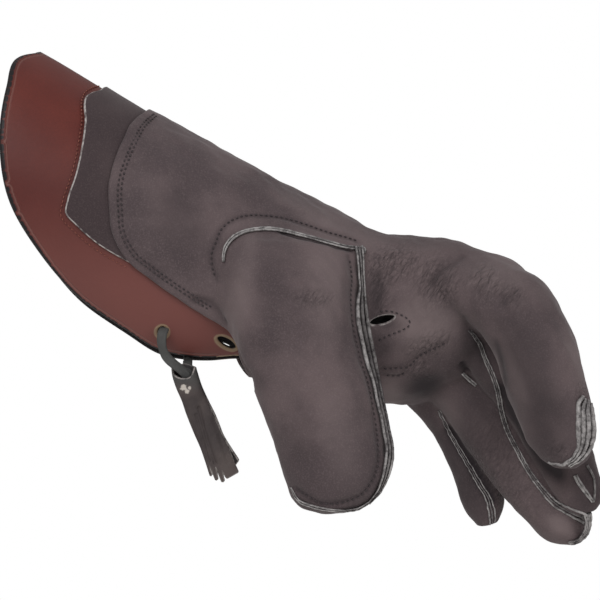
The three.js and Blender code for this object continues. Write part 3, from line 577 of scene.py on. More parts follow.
def cuffLayer(lift, start, end, outline, cell=1.1, holes=()):
    middle = bodySection(np.array([(start + end) / 2]))
    girth = np.pi * (middle[3][0] + middle[4][0])
    rows, columns = int((end - start) / cell), int(girth / cell)
    along, angle = np.meshgrid(np.linspace(start, end, rows),
                               np.linspace(0, 2 * np.pi, columns, endpoint=False),
                               indexing="ij")
    points = bodyPoint(along, angle, lift).reshape(-1, 3)
    faces = gridFaces(rows, columns, closed=True)
    flat = sideView(points)
    field = insideOutline(flat, outline)
    for place, halfWidth, halfHeight in holes:
        gap = np.hypot((flat[:, 0] - place[0]) / halfWidth, (flat[:, 1] - place[1]) / halfHeight) - 1
        field = np.minimum(field, gap * min(halfWidth, halfHeight))
    return trimmed(points, faces, field)


# Place along the arm and rise above it, with the far side's drop taken out
def sideView(points):
    back = (points[:, 1] + 33) / 66
    return np.stack([points @ alongArm, points @ upArm + farDrop * back], -1)


def closedOutline(edge, far, above=90):
    line = smoothLine(edge, 160)
    return np.concatenate([line, [[far, line[-1, 1]], [far, above], [line[0, 0], above]]])


# Red cuff. Edge and hole places are along the arm and above it, in millimetres.
redCuff = {
    "edge": [(-152.5, 36.7), (-156.6, 30.2), (-153.0, 16.2), (-142.7, -8.6), (-128.6, -27.4), (-108.2, -41.0),
             (-87.2, -50.0), (-58.7, -53.4), (-43.3, -54.4), (-21.6, -47.5), (-10.7, -40.7), (8.2, -33.1)],
    "holes": [((-44.6, -47.2), 2.7, 2.7), ((-17.4, -38.4), 5.2, 2.3)],
    "end": 8.2,
}


def makeGauntlet(shape):
    outline = closedOutline(shape["edge"], shape["end"])
    points, faces = cuffLayer(gauntletLift, -178, shape["end"], outline, 1.0, shape["holes"])
    points = points + vertexNormals(points, faces) * (0.5 * ripple(points, 70, 3))[:, None]
    made, faces, side, _, rim = thickened(points, faces, leather["gauntlet"])
    flat = sideView(rim)
    punched = np.zeros(len(rim), bool)
    for place, halfWidth, _ in shape["holes"]:
        punched |= np.hypot(*(flat - place).T) < halfWidth + 2
    # The low value lightens the cuff's lower part as painted light
    looks = {"side": side, "edge": nearest(made, rim[~punched][::2]), "hole": nearest(made, rim[punched]),
             "low": smoothStep(made[:, 2], 45, -10)}
    piece = makeObject("red_gauntlet", made, faces, [redLeather], looks)
    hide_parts("gauntlet")
    return piece


# Dark suede panel between the red cuff and the sleeve, with a pale cut edge
suedeShape = {
    "edge": [(-118.9, 36.0), (-121.7, 30.2), (-115.8, 18.0), (-107.9, -5.0), (-105.9, -16.3), (-104.1, -21.6),
             (-98.4, -23.8), (-87.9, -26.4), (-71.2, -27.4), (-60.7, -27.0)],
    "end": -60.7,
}


def makeSuedePanel(shape):
    outline = closedOutline(shape["edge"], shape["end"])
    points, faces = cuffLayer(suedeLift, -130, shape["end"], outline, 0.9)
    points = points + vertexNormals(points, faces) * (0.15 * ripple(points, 30, 5))[:, None]
    made, faces, side = thickened(points, faces, leather["suede"])[:3]
    zero = np.zeros(len(made))
    piece = makeObject("suede_cuff_panel", made, faces, [darkSuede],
                       {"side": side, "wornAndHighlight": zero, "shade": zero, "wrinkle": zero})
    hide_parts("suede_panel")
    return piece


makeGauntlet(redCuff)
makeSuedePanel(suedeShape)
print("cuff done")


# Fingers: the root is along the arm, above it and towards the viewer. Rows go right, towards the viewer and
# down in shares of the length, then give the width and thickness in shares of the breadth.
fingerShapes = {
    "index": {"length": 91, "breadth": 36, "root": (52.8, 26.0, 14.3), "backSeam": 10.8, "rows": [
        (0, 0, 0, 0.7, 0.75), (0.16, 0.07, 0.01, 0.86, 0.88), (0.315, 0.15, 0.07, 0.98, 0.96),
        (0.442, 0.21, 0.25, 1.0, 0.96), (0.513, 0.25, 0.48, 0.98, 0.94), (0.56, 0.28, 0.64, 0.88, 0.84),
        (0.588, 0.3, 0.75, 0.74, 0.7), (0.598, 0.31, 0.82, 0.56, 0.5), (0.602, 0.31, 0.86, 0.28, 0.26)]},
    "middle": {"length": 104.5, "breadth": 27, "root": (69.5, 16.8, 5.0), "backSeam": 2.7, "rows": [
        (0, 0, 0, 1.0, 0.9), (0.16, 0, 0.16, 1.0, 0.95), (0.31, 0.02, 0.34, 0.98, 0.94),
        (0.42, 0.05, 0.53, 0.95, 0.9), (0.49, 0.1, 0.67, 0.86, 0.8), (0.525, 0.13, 0.76, 0.68, 0.62),
        (0.54, 0.14, 0.81, 0.34, 0.3)]},
    "ring": {"length": 96, "breadth": 26, "root": (70.4, -5.0, -9.2), "backSeam": 0.0, "rows": [
        (0, 0, 0, 1.1, 0.95), (0.14, 0.01, 0.14, 1.06, 0.96), (0.27, 0.04, 0.34, 0.98, 0.94),
        (0.39, 0.08, 0.51, 0.92, 0.9), (0.52, 0.14, 0.665, 0.88, 0.86), (0.62, 0.17, 0.76, 0.74, 0.7),
        (0.665, 0.19, 0.805, 0.36, 0.32)]},
    "little": {"length": 70, "breadth": 22, "root": (66.9, -14.3, -20.0), "backSeam": 0.0, "rows": [
        (0, 0, 0, 1.1, 1.0), (0.178, 0, 0.2, 1.0, 0.95), (0.315, 0.03, 0.46, 0.92, 0.9),
        (0.385, 0.06, 0.66, 0.88, 0.86), (0.436, 0.09, 0.84, 0.8, 0.78), (0.456, 0.1, 0.95, 0.46, 0.42)]},
}
handTwist = np.radians(36)
handAcross = upArm * np.cos(handTwist) - away * np.sin(handTwist)
handThrough = upArm * np.sin(handTwist) + away * np.cos(handTwist)


# Sections of a finger at shares of its own path: the middle, the two axes and the two half sizes
def fingerSection(shape, at):
    table = np.array(shape["rows"])
    along, rise, toward = shape["root"]
    root = along * alongArm + rise * upArm - toward * away
    centers = root + table[:, :3] * [1, -1, -1] * shape["length"]
    run = np.concatenate([[0], np.cumsum(np.linalg.norm(np.diff(centers, axis=0), axis=1))])
    at = np.asarray(at, float) * run[-1]
    sizes = smoothRows(run, table[:, 3:], at) * shape["breadth"] / 2
    center = smoothRows(run, centers, at)
    tangent = unit(smoothRows(run, centers, at + 0.5) - smoothRows(run, centers, at - 0.5))
    across = unit(handAcross - (tangent @ handAcross)[..., None] * tangent)
    return center, across, np.cross(tangent, across), sizes[..., 0], sizes[..., 1]


# Point on a finger at a share of its path and an angle from the thumb side round to the palm
def fingerPoint(shape, at, angle, lift=0.0):
    center, across, through, halfAcross, halfThrough = fingerSection(shape, at)
    return (center + across * ((halfAcross + lift) * np.cos(angle))[..., None]
            + through * ((halfThrough + lift) * np.sin(angle))[..., None])


# Closed tube: a grid round a path with a point at each end
def closedTube(grid, flip=False):
    rows, columns = grid.shape[:2]
    points = np.concatenate([grid.reshape(-1, 3), grid[0].mean(0)[None], grid[-1].mean(0)[None]])
    faces = gridFaces(rows, columns, closed=True)
    here, beside = np.arange(columns), (np.arange(columns) + 1) % columns
    first, last = rows * columns, rows * columns + 1
    capStart = np.stack([np.full(columns, first), here, beside], -1)
    capEnd = np.stack([np.full(columns, last), beside + (rows - 1) * columns, here + (rows - 1) * columns],
                      -1)
    faces = np.concatenate([faces, capStart, capEnd])
    return points, faces[:, ::-1] if flip else faces


# One skin over all tubes, made by Blender's voxel remesh
def voxelSkin(tubes, voxel):
    offset, points, faces = 0, [], []
    for tubePoints, tubeFaces in tubes:
        points.append(tubePoints)
        faces.append(tubeFaces + offset)
        offset += len(tubePoints)
    mesh = bpy.data.meshes.new("skinSource")
    mesh.from_pydata((np.concatenate(points) * 0.001).tolist(), [], np.concatenate(faces).tolist())
    source = bpy.data.objects.new("skinSource", mesh)
    bpy.context.scene.collection.objects.link(source)
    remesh = source.modifiers.new("Remesh", "REMESH")
    remesh.mode = "VOXEL"
    remesh.voxel_size = voxel * 0.001
    made = source.evaluated_get(bpy.context.evaluated_depsgraph_get()).to_mesh()
    made.calc_loop_triangles()
    co = np.empty(len(made.vertices) * 3, np.float32)
    made.vertices.foreach_get("co", co)
    tri = np.empty(len(made.loop_triangles) * 3, np.int32)
    made.loop_triangles.foreach_get("vertices", tri)
    bpy.data.objects.remove(source)
    return co.reshape(-1, 3).astype(float) * 1000, tri.reshape(-1, 3)


# Each point moves part of the way to the mean of its neighbours
def relaxed(points, faces, rounds, amount=0.6):
    edges = np.unique(np.sort(faces[:, [0, 1, 1, 2, 2, 0]].reshape(-1, 2), axis=1), axis=0)
    ends, others = np.concatenate([edges[:, 0], edges[:, 1]]), np.concatenate([edges[:, 1], edges[:, 0]])
    number = np.bincount(ends, minlength=len(points))[:, None]
    for sign in [1, -1.03] * rounds:
        total = np.stack([np.bincount(ends, points[others, axis], len(points)) for axis in range(3)], -1)
        points = points + sign * amount * (total / number - points)
    return points


# Thumb. Rows go down, right and towards the viewer in shares of the length, breadth and thickness, then
# give the
# width, the thickness, the yaw of the section's right end away from the viewer and its roll downwards.
thumbShape = {
    "length": 124, "breadth": 58, "thickness": 40, "root": (-8.6, -33.0, 23.8), "rows": [
        (0.001, 0.02, 0.0, 0.16, 0.1, 14, 10), (0.01, 0.03, 0.0, 0.31, 0.17, 14, 10),
        (0.024, 0.07, 0.01, 0.58, 0.27, 14, 10), (0.039, 0.14, 0.03, 0.87, 0.37, 14, 10),
        (0.073, 0.09, 0.06, 1.0, 0.56, 14, 10), (0.142, 0.07, 0.1, 1.05, 0.78, 14, 7),
        (0.255, 0.075, 0.17, 1.01, 0.93, 12, 2), (0.4, 0.11, 0.22, 0.98, 1.0, 10, 0),
        (0.54, 0.215, 0.25, 0.92, 1.0, 8, 0), (0.68, 0.305, 0.28, 0.87, 0.95, 6, 0),
        (0.785, 0.37, 0.3, 0.83, 0.9, 5, 0), (0.89, 0.395, 0.33, 0.73, 0.76, 4, 0),
        (0.945, 0.38, 0.33, 0.6, 0.6, 4, 0), (0.978, 0.37, 0.33, 0.38, 0.4, 4, 0),
        (0.99, 0.37, 0.33, 0.2, 0.2, 4, 0)],
}


def thumbSection(down):
    table = np.array(thumbShape["rows"])
    right, toward, wide, thick, yaw, roll = np.moveaxis(smoothRows(table[:, 0], table[:, 1:], down), -1, 0)
    yaw, roll = np.radians(yaw), np.radians(roll)
    breadth, thickness = thumbShape["breadth"], thumbShape["thickness"]
    step = np.stack([right * breadth, -toward * thickness, -np.asarray(down) * thumbShape["length"]], -1)
    across = unit(np.stack([np.cos(yaw) * np.cos(roll), np.sin(yaw), -np.sin(roll)], -1))
    through = np.stack([-np.sin(yaw), np.cos(yaw), np.zeros_like(yaw)], -1)
    return thumbShape["root"] + step, across, through, wide * breadth / 2, thick * thickness / 2


# Oval round the thumb, pinched a little towards its seam: angle 0 is the right edge
def thumbPoint(down, angle):
    center, across, through, halfAcross, halfThrough = thumbSection(down)
    pinch = 1 - 0.3 * np.clip(np.cos(angle), 0, 1) ** 3
    return (center + across * (halfAcross * np.cos(angle))[..., None]
            + through * (halfThrough * pinch * np.sin(angle))[..., None])


# How far points lie outside the thumb's oval and outside the arm's, in millimetres
def thumbGap(points):
    down = np.clip((thumbShape["root"][2] - points[:, 2]) / thumbShape["length"], 0.03, 0.985)
    center, across, through, halfAcross, halfThrough = thumbSection(down)
    offset = points - center
    offset[:, 2] = 0
    share = np.hypot((offset * across).sum(-1) / halfAcross, (offset * through).sum(-1) / halfThrough)
    return (share - 1) * np.sqrt(halfAcross * halfThrough) + np.maximum(points[:, 2] - 21, 0)


def armGap(points):
    along = np.clip(points @ alongArm, -112, 88)
    center, across, through, halfAcross, halfThrough = bodySection(along)
    offset = points - center
    share = np.hypot((offset * across).sum(-1) / halfAcross, (offset * through).sum(-1) / halfThrough)
    return (share - 1) * np.sqrt(halfAcross * halfThrough)


# Nubuck sleeve, palm and fingers. The edge is along the arm and above it, in millimetres.
handShape = {
    "thumbReach": 12.0,
    "voxel": 1.15,
    "blend": 140,
    "knuckle": {"middle": (80.0, 0.0, 9.0), "reach": 24.0},
    "edge": [(-96.8, 36.7), (-98.2, 29.5), (-97.6, 20.2), (-92.7, -2.5), (-87.7, -11.5), (-82.5, -19.4),
             (-72.2, -26.6), (-59.0, -29.5), (-30.8, -32.8), (-19.5, -34.0), (-12.8, -38.0), (-7.0, -43.0),
             (0.0, -47.5), (3.3, -52.0)],
    "corner": 3.3,
    "backStart": 26.4,
    "vent": {"middle": (34.6, -16.4), "halfLength": 6.4, "halfWidth": 2.4, "tilt": 16},
}


def bareHand(shape):
    rows = np.linspace(-112, 89.8, 170)
    angle = np.linspace(0, 2 * np.pi, 150, endpoint=False)
    tubes = [closedTube(bodyPoint(*np.meshgrid(rows, angle, indexing="ij")))]
    for finger in fingerShapes.values():
        at = np.linspace(0, 1, 90)
        tubes.append(closedTube(fingerPoint(finger, *np.meshgrid(at, angle[::2], indexing="ij")), flip=True))
    down = 0.001 + 0.989 * (1 - np.cos(np.linspace(0, np.pi, 150))) / 2
    tubes.append(closedTube(thumbPoint(*np.meshgrid(down, angle, indexing="ij"))))
    points, faces = voxelSkin(tubes, shape["voxel"])
    points = relaxed(points, faces, 5)
    onArm = snappedToArm(points)
    fromThumb, fromArm = thumbGap(points), armGap(points)
    share = smoothStep(points @ alongArm, 34, 8) * smoothStep(fromThumb, 3, 9)
    points = points + share[:, None] * (onArm - points)
    leftOfSeam = smoothStep(points[:, 0], 8, -12)
    crease = smoothStep(np.abs(fromThumb) + np.abs(fromArm), 26, 8) * (0.12 + 0.88 * leftOfSeam)
    knuckle = np.linalg.norm((points - shape["knuckle"]["middle"])[:, [0, 2]], axis=1)
    crease = np.maximum(crease, smoothStep(knuckle, shape["knuckle"]["reach"], shape["knuckle"]["reach"] / 3))
    return softened(points, faces, crease, shape["blend"]), faces


# Plain smoothing where the weight is above zero
def softened(points, faces, weight, rounds):
    edges = np.unique(np.sort(faces[:, [0, 1, 1, 2, 2, 0]].reshape(-1, 2), axis=1), axis=0)
    ends, others = np.concatenate([edges[:, 0], edges[:, 1]]), np.concatenate([edges[:, 1], edges[:, 0]])
    near = weight[ends] > 0.01
    ends, others = ends[near], others[near]
    number = np.maximum(np.bincount(ends, minlength=len(points)), 1)[:, None]
    share = 0.7 * np.where(weight > 0.01, weight, 0)[:, None]
    for _ in range(rounds):
        total = np.stack([np.bincount(ends, points[others, axis], len(points)) for axis in range(3)], -1)
        points = points + share * (total / number - points)
    return points


# Nearest point of the arm's own oval in the same plane across it
def snappedToArm(points):
    along = np.clip(points @ alongArm, -112, 60)
    center, across, through, halfAcross, halfThrough = bodySection(along)
    offset = points - center
    angle = np.arctan2((offset * through).sum(-1) / halfThrough, (offset * across).sum(-1) / halfAcross)
    return bodyPoint(along, angle)


# Height over the sheet through the middle of every finger, positive on the back of the hand
def backField(points):
    stops = np.linspace(-20, 280, 120)
    along, u, t = points @ alongArm, points @ handAcross, points @ handThrough
    columns = []
    for finger in fingerShapes.values():
        center = fingerSection(finger, np.linspace(0, 1, 60))[0] + finger["backSeam"] * handThrough
        line = np.stack([np.interp(stops, center @ alongArm, center @ way) for way in (handAcross,
                                                                                       handThrough)], -1)
        columns.append(np.stack([np.interp(along, stops, line[:, k]) for k in range(2)], -1))
    columns.insert(0, columns[0] + [130, 0])
    columns.append(columns[-1] + [-130, 0])
    height = np.zeros(len(points))
    for a, b in zip(columns[1:], columns[:-1]):
        share = np.clip((u - a[:, 0]) / np.maximum(b[:, 0] - a[:, 0], 0.5), 0, 1)
        inside = (u >= a[:, 0]) & (u <= b[:, 0])
        height = np.where(inside, a[:, 1] + share * (b[:, 1] - a[:, 1]), height)
    return np.minimum(t - height, along - handShape["backStart"])


# Furrows and puckers along lines of pixels. Depth and width are in millimetres; the skin sinks by depth times
# exp(-(distance / width) squared), and painted shade darkens it there. Some lines are mostly painted shade:
# the shadow under the thumb's top ply and the dark gaps between the fingers.
furrows = [
    {"line": [(216, 279), (212, 265), (212, 253), (216, 242), (221, 230), (228, 223), (240, 217), (255, 215),
              (264, 215.5), (280, 217.5), (295, 221), (310, 226), (327, 232), (343, 236.5), (357, 241)],
     "depth": 0.7, "width": 1.5, "shade": 0.4},
    {"line": [(349, 257), (351.5, 280), (350.5, 297), (352, 320), (357, 345), (362, 365), (368, 384),
              (373, 410),
              (376.5, 432), (378, 449), (376.5, 470), (371, 482), (362, 494), (349, 500.5), (333, 503.5),
              (321, 502.5), (308, 496), (297, 489)], "depth": 0.6, "width": 1.5, "shade": 0.4},
    {"line": [(434, 284), (436.5, 278), (444, 270), (455, 262), (463, 256)], "depth": 0.8, "width": 1.6,
     "shade": 0.3},
    {"line": [(427, 296), (429, 288), (435, 274), (443, 264), (450, 258)], "depth": 0.5, "width": 1.3,
     "shade": 0.15},
    {"line": [(473, 293), (478, 284), (484, 274)], "depth": 0.5, "width": 1.4, "shade": 0.15},
    {"line": [(480, 290), (484, 284), (487, 275)], "depth": 0.4, "width": 1.3, "shade": 0.1},
    {"line": [(503, 303), (509, 297), (518, 289)], "depth": 0.5, "width": 1.3, "shade": 0.25},
    {"line": [(464, 318), (466, 325), (477, 342), (484, 360)], "depth": 0.8, "width": 1.8, "shade": 0.35},
    {"line": [(380, 369), (394, 368), (408, 366), (416, 359), (426, 352), (437, 347), (447, 342)],
     "depth": 0.5, "width": 1.4, "shade": 0.25},
    {"line": [(383, 375), (400, 375), (406, 371.5)], "depth": 0.5, "width": 1.2, "shade": 0.25},
    {"line": [(197, 300), (209, 303), (218, 312), (224, 322)], "depth": 1.1, "width": 1.9, "shade": 0.45},
    {"line": [(462, 364), (466, 371)], "depth": 1.8, "width": 1.6, "shade": 0.9},
    {"line": [(282, 232), (298, 236.3), (316, 240.8), (333, 245.6), (351, 249.5)], "depth": 0.9, "width": 1.4,
     "shade": 1.0},
    {"line": [(502, 392), (508, 406), (517, 425), (530, 446), (543, 466), (556, 474)], "depth": 1.5,
     "width": 4.6,
     "shade": 1.0},
    {"line": [(449, 430), (460, 447), (470, 463), (481, 482), (492, 500)], "depth": 1.2, "width": 2.2,
     "shade": 1.0},
    {"line": [(496, 345), (503, 370), (506, 392)], "depth": 0.4, "width": 2.6, "shade": 0.6},
]

# Soft patches, each an ellipse of pixels: the middle, the half sizes, its turn in degrees and the strength.
# The shade patches are painted shade; the lighter patches are partly wear and partly painted highlight and
# sheen.
patches = {
    "shade": [((425, 385), (20, 13), -15, 1.0), ((376, 292), (9, 26), 0, 0.6), ((381, 350), (11, 18), 0, 0.4),
              ((528, 362), (26, 60), -16, 0.62), ((272, 300), (18, 70), 6, 0.2),
              ((300, 430), (16, 60), -12, 0.2),
              ((345, 300), (5, 50), 0, 0.25), ((554, 420), (24, 34), -20, 0.5),
              ((484, 420), (24, 60), -28, 0.35), ((180, 220), (30, 40), -30, 0.3),
              ((462, 470), (30, 70), -28, 0.6), ((590, 490), (20, 40), 0, 0.5),
              ((478, 352), (16, 30), -30, 0.65),
              ((540, 440), (14, 60), -35, 0.3), ((386, 322), (16, 7), 15, 0.5),
              ((550, 300), (60, 30), 40, 0.15),
              ((420, 240), (60, 9), 8, 0.3), ((455, 265), (40, 18), -30, 0.2)],
    # Lighter patches: partly wear, partly painted highlight and sheen, such as the band along the sleeve's
    # top and down the thumb
    "wornAndHighlight": [((240, 300), (12, 60), 10, 0.5), ((325, 290), (20, 55), 0, 0.45), ((500, 272), (30, 18), 0, 0.5),
             ((425, 325), (34, 28), 0, 1.0), ((340, 440), (22, 50), -10, 0.4),
             ((518, 385), (8, 34), -16, 0.5),
             ((575, 345), (9, 50), -18, 0.6), ((320, 215), (60, 10), 27, 0.6),
             ((560, 525), (16, 10), 30, 0.8), ((391, 393), (12, 13), 0, 1.0),
             ((450, 415), (10, 20), -25, 0.5)],
    "wrinkle": [((392, 264), (28, 18), -20, 1.0), ((436, 282), (24, 28), -30, 1.0),
                ((484, 282), (16, 20), -20, 0.8),
                ((312, 298), (22, 10), 0, 0.7), ((512, 296), (14, 14), 0, 0.7),
                ((380, 290), (12, 34), 0, 0.8),
                ((430, 345), (26, 14), -20, 0.8), ((420, 370), (20, 12), 0, 0.6),
                ((560, 452), (18, 10), 20, 0.7),
                ((500, 470), (30, 60), -30, 0.5), ((585, 395), (10, 16), 0, 0.8),
                ((480, 480), (12, 40), -30, 0.5)],
}


def patchField(points, normals, ellipses):
    pixels = pixelOf(points)
    total = np.zeros(len(points))
    for middle, size, turn, amount in ellipses:
        step = pixels - middle
        turn = np.radians(turn)
        along = (step[:, 0] * np.cos(turn) + step[:, 1] * np.sin(turn)) / size[0]
        aside = (step[:, 1] * np.cos(turn) - step[:, 0] * np.sin(turn)) / size[1]
        total += amount * np.exp(-1.2 * (along ** 2 + aside ** 2) ** 1.5)
    return np.clip(total, 0, 1) * smoothStep(-normals[:, 1], -0.1, 0.25)


# The skin with its furrows, and for every point the painted shade, the wear with painted highlight, and the
# wrinkle
def marked(points, faces):
    surface = Surface(points, faces)
    normals = surface.normals
    looks = np.stack([patchField(points, normals, patches[name]) for name in ("shade", "wornAndHighlight", "wrinkle")],
                     -1)
    sunk = 0.35 * ripple(points, 22, 11) + 0.16 * ripple(points, 8, 12)
    for furrow in furrows:
        samples = surface.seen(pixelLine(furrow["line"]))[0]
        reach = furrow["width"] * 2.5
        near = ((points > samples.min(0) - reach) & (points < samples.max(0) + reach)).all(1)
        weight = np.exp(-(nearest(points[near], samples) / furrow["width"]) ** 2)
        sunk[near] -= furrow["depth"] * weight
        # Painted shade along each furrow
        looks[near, 0] += furrow["shade"] * weight
    return points + normals * sunk[:, None], np.clip(looks, 0, 1)


def makeHand(shape):
    points, faces = bareHand(shape)
    points, looks = marked(points, faces)
    print("hand skin", len(points), "points")
    outline = closedOutline(shape["edge"], shape["corner"])[:160]
    outline = np.concatenate([outline, [[shape["corner"], -250], [300, -250], [300, 120],
                                        [outline[0, 0], 120]]])
    flat = sideView(points)
    field = insideOutline(flat, outline)
    vent = shape["vent"]
    tilt = np.radians(vent["tilt"])
    dx, dz = points[:, 0] - vent["middle"][0], points[:, 2] - vent["middle"][1]
    lengthwise, crosswise = dx * np.cos(tilt) + dz * np.sin(tilt), dz * np.cos(tilt) - dx * np.sin(tilt)
    slit = (np.hypot(lengthwise / vent["halfLength"], crosswise / vent["halfWidth"]) - 1) * vent["halfWidth"]
    field = np.minimum(field, np.where(points[:, 1] < 0, slit, 50))
    # The thumb piece stays within its reach, so no patch of a finger joins it
    thumb = np.minimum(armGap(points) - thumbGap(points), shape["thumbReach"] - thumbGap(points))
    back = np.minimum(backField(points), -thumb)
    rows = np.concatenate([points, np.stack([np.minimum(-back, -thumb), back, thumb], -1), looks], -1)
    rows, faces = trimmed(rows, faces, field)
    nodes = {"nubuck_palm": "palm_panel", "nubuck_back": "back_panel", "nubuck_thumb": "thumb"}
    for column, (name, node) in enumerate(nodes.items()):
        part, partFaces = trimmed(rows, faces, rows[:, 3 + column])
        made, partFaces, side, extra = thickened(part, partFaces, leather["nubuck"])[:4]
        hem = (made @ alongArm < 22) & (side > 0.5) & (side < 1.5)
        marks = {"side": np.where(hem, 0.3, side), "shade": extra[:, 3], "wornAndHighlight": extra[:, 4],
                 "wrinkle": extra[:, 5]}
        piece = makeObject(name, made, partFaces, [nubuck], marks)
        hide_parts(node)
        print(name, len(partFaces), "triangles")
    return Surface(rows[:, :3], faces)


skin = makeHand(handShape)
print("hand done")


# Closed strips whose section is a rounded rectangle: path points, the way its first half size points and
# the two
# half sizes. The section follows |x / a| ** 4 + |y / b| ** 4 = 1.
def strip(path, aside, halfAside, halfThick, sides=14):
    path, aside = np.asarray(path, float), np.asarray(aside, float)
    tangent = unit(np.gradient(path, axis=0))
    aside = unit(aside - (aside * tangent).sum(-1, keepdims=True) * tangent)
    thick = np.cross(tangent, aside)
    angle = np.linspace(0, 2 * np.pi, sides, endpoint=False)
    cosine, sine = np.cos(angle), np.sin(angle)
    reach = (np.abs(cosine) ** 4 + np.abs(sine) ** 4) ** -0.25
    a = (np.broadcast_to(halfAside, len(path))[:, None] * cosine * reach)[..., None]
    b = (np.broadcast_to(halfThick, len(path))[:, None] * sine * reach)[..., None]
    grid = path[:, None] + aside[:, None] * a + thick[:, None] * b
    return closedTube(grid, flip=True)


# Several meshes as one
def joined(meshes):
    points, faces, offset = [], [], 0
    for meshPoints, meshFaces in meshes:
        points.append(meshPoints)
        faces.append(meshFaces + offset)
        offset += len(meshPoints)
    return np.concatenate(points), np.concatenate(faces)


# Raw seams: leather plies seen on their cut edges, between two lines of pixels. Each ply stands out of the
# skin
# by the rise and goes into it by the sink, in millimetres; a ragged ply frays by that much.
seamShapes = {
    "thumb_seam": [
        {"left": [(222, 262), (222, 255), (224.5, 245), (231, 236.5), (239, 231.5), (250, 228.2),
                  (264, 226.6),
                  (281, 228), (298, 232), (316, 236.7), (333, 241.3), (345, 244.4), (361, 246.5)],
         "right": [(224.5, 262), (225, 256), (228, 247), (234, 239.5), (241, 235), (251, 231.8), (264, 230.4),
                   (282, 232), (298, 236), (314, 240.2), (330, 244.8), (343, 248), (359, 250.5)],
         "plies": 2, "rise": 2.3, "sink": 2.5, "fray": 0.1, "fill": 0.5},
        {"left": [(358, 249.5), (361, 252), (362, 255)], "right": [(364, 246.5), (366.5, 249), (365.5, 253)],
         "plies": 2, "rise": 2.2, "sink": 2.0, "fray": 0.5},
        {"left": [(355, 249), (356.5, 258), (358, 275), (358.5, 290), (356.5, 300), (356, 318), (360, 340),
                  (366, 365),
                  (371.5, 380), (375.7, 400), (380, 417), (382.6, 432), (385.2, 449), (383.4, 466),
                  (381, 479),
                  (376.5, 491), (369, 501)],
         "right": [(364, 249), (364.5, 258), (365, 275), (366, 290), (367.5, 305), (369.5, 320), (373, 340),
                   (377.5, 362),
                   (381, 382), (384.5, 400), (387.5, 415), (390.8, 432), (393.6, 446), (393, 465), (389, 478),
                   (380.5, 493.5), (371, 503.5)],
         "plies": 3, "rise": 1.4, "sink": 5.0, "fray": 0.08, "fill": 0.5, "lean": (-3, 0)},
        {"left": [(369, 501), (359, 507), (345, 509.5), (330, 508.5), (312, 504.5), (299, 499), (292, 488)],
         "right": [(371, 503.5), (360, 510), (345, 512.8), (330, 512), (312, 508.8), (298, 502.5),
                   (289.5, 488)],
         "plies": 2, "rise": 0.2, "sink": 5.0, "fray": 0.15, "lean": (0, -4)},
    ],
    "index_seam": [
        {"left": [(581, 396), (577, 402), (576, 414), (576, 430), (576, 448), (572, 456), (566, 462)],
         "right": [(593, 405), (595.5, 419), (596.5, 430), (596, 439), (591, 452), (583, 461), (572, 467)],
         "plies": 4, "rise": 0.6, "sink": 4.0, "fray": 0.3, "lean": (-4, -2)},
        {"left": [(570, 458), (564, 462), (555, 462.5), (549, 461)],
         "right": [(571, 463), (563, 466.5), (554, 466), (548, 463.5)], "plies": 1, "rise": 1.0,
         "sink": 2.0, "fray": 0.3},
    ],
    "middle_seam": [
        {"left": [(573, 476), (577, 484), (584, 494), (591, 502)],
         "right": [(578, 475), (582, 482), (588, 491), (594, 500)],
         "plies": 2, "rise": 0.8, "sink": 2.0, "fray": 0.25, "near": -28.0},
        {"left": [(586, 466), (592, 476), (594, 488), (593, 502)],
         "right": [(589, 465), (594, 475), (596, 488), (595, 502)],
         "plies": 2, "rise": 0.6, "sink": 2.0, "fray": 0.25, "near": -28.0, "lean": (-3, 0)},
    ],
    "ring_seam": [
        {"left": [(467, 330), (476.5, 343), (483, 360), (489, 374), (494, 388), (498.5, 410), (504, 430),
                  (514, 450),
                  (526, 472), (539, 491), (553, 507), (569, 517), (580, 523), (585, 526)],
         "right": [(471, 329), (481, 342), (488, 359), (495, 374), (500, 388), (504, 410), (510, 430),
                   (520, 450),
                   (532, 471), (545, 488), (559, 501), (574, 508), (584, 511.5), (589, 514)],
         "plies": 3, "rise": 1.0, "sink": 2.2, "fray": 0.22, "fill": 0.36},
        {"left": [(569, 542), (577, 539), (583, 532), (585, 524), (584, 515)],
         "right": [(571, 545), (580, 542.5), (588, 535), (592, 524), (592, 513)],
         "plies": 4, "rise": 0.7, "sink": 3.0, "fray": 0.3, "fill": 0.55, "lean": (-5, -3)},
    ],
    "little_seam": [
        {"left": [(437, 411), (445, 428), (456, 449), (468, 470), (477, 486), (484, 498), (487.5, 515),
                  (489, 525)],
         "right": [(440, 409), (448.5, 426), (460, 446), (473, 467), (483, 484), (492, 498), (496.5, 512),
                   (496, 522)],
         "plies": 3, "rise": 1.0, "sink": 1.8, "fray": 0.3, "fill": 0.28},
        {"left": [(461, 374), (466, 379.5), (475, 387)], "right": [(463.5, 372), (469, 377), (477, 384)],
         "plies": 2, "rise": 0.9, "sink": 1.2, "fray": 0.25},
    ],
}


# One ply: facets round it, how far its depth may change in a pixel, how many pixels smooth it, the fray's
# period and its share sideways, how much lower each second ply lies, where painted shade starts and is full
# down its sides, and the middle ply's tone
plyForm = {"sides": 14, "steepest": 0.35, "smoothing": 9, "period": 3.4, "sideways": 0.4, "lower": 0.25,
           "shadeFrom": 0.25, "shadeTo": 1.5, "innerTone": 0.55, "fill": 0.46, "nearest": -90.0}


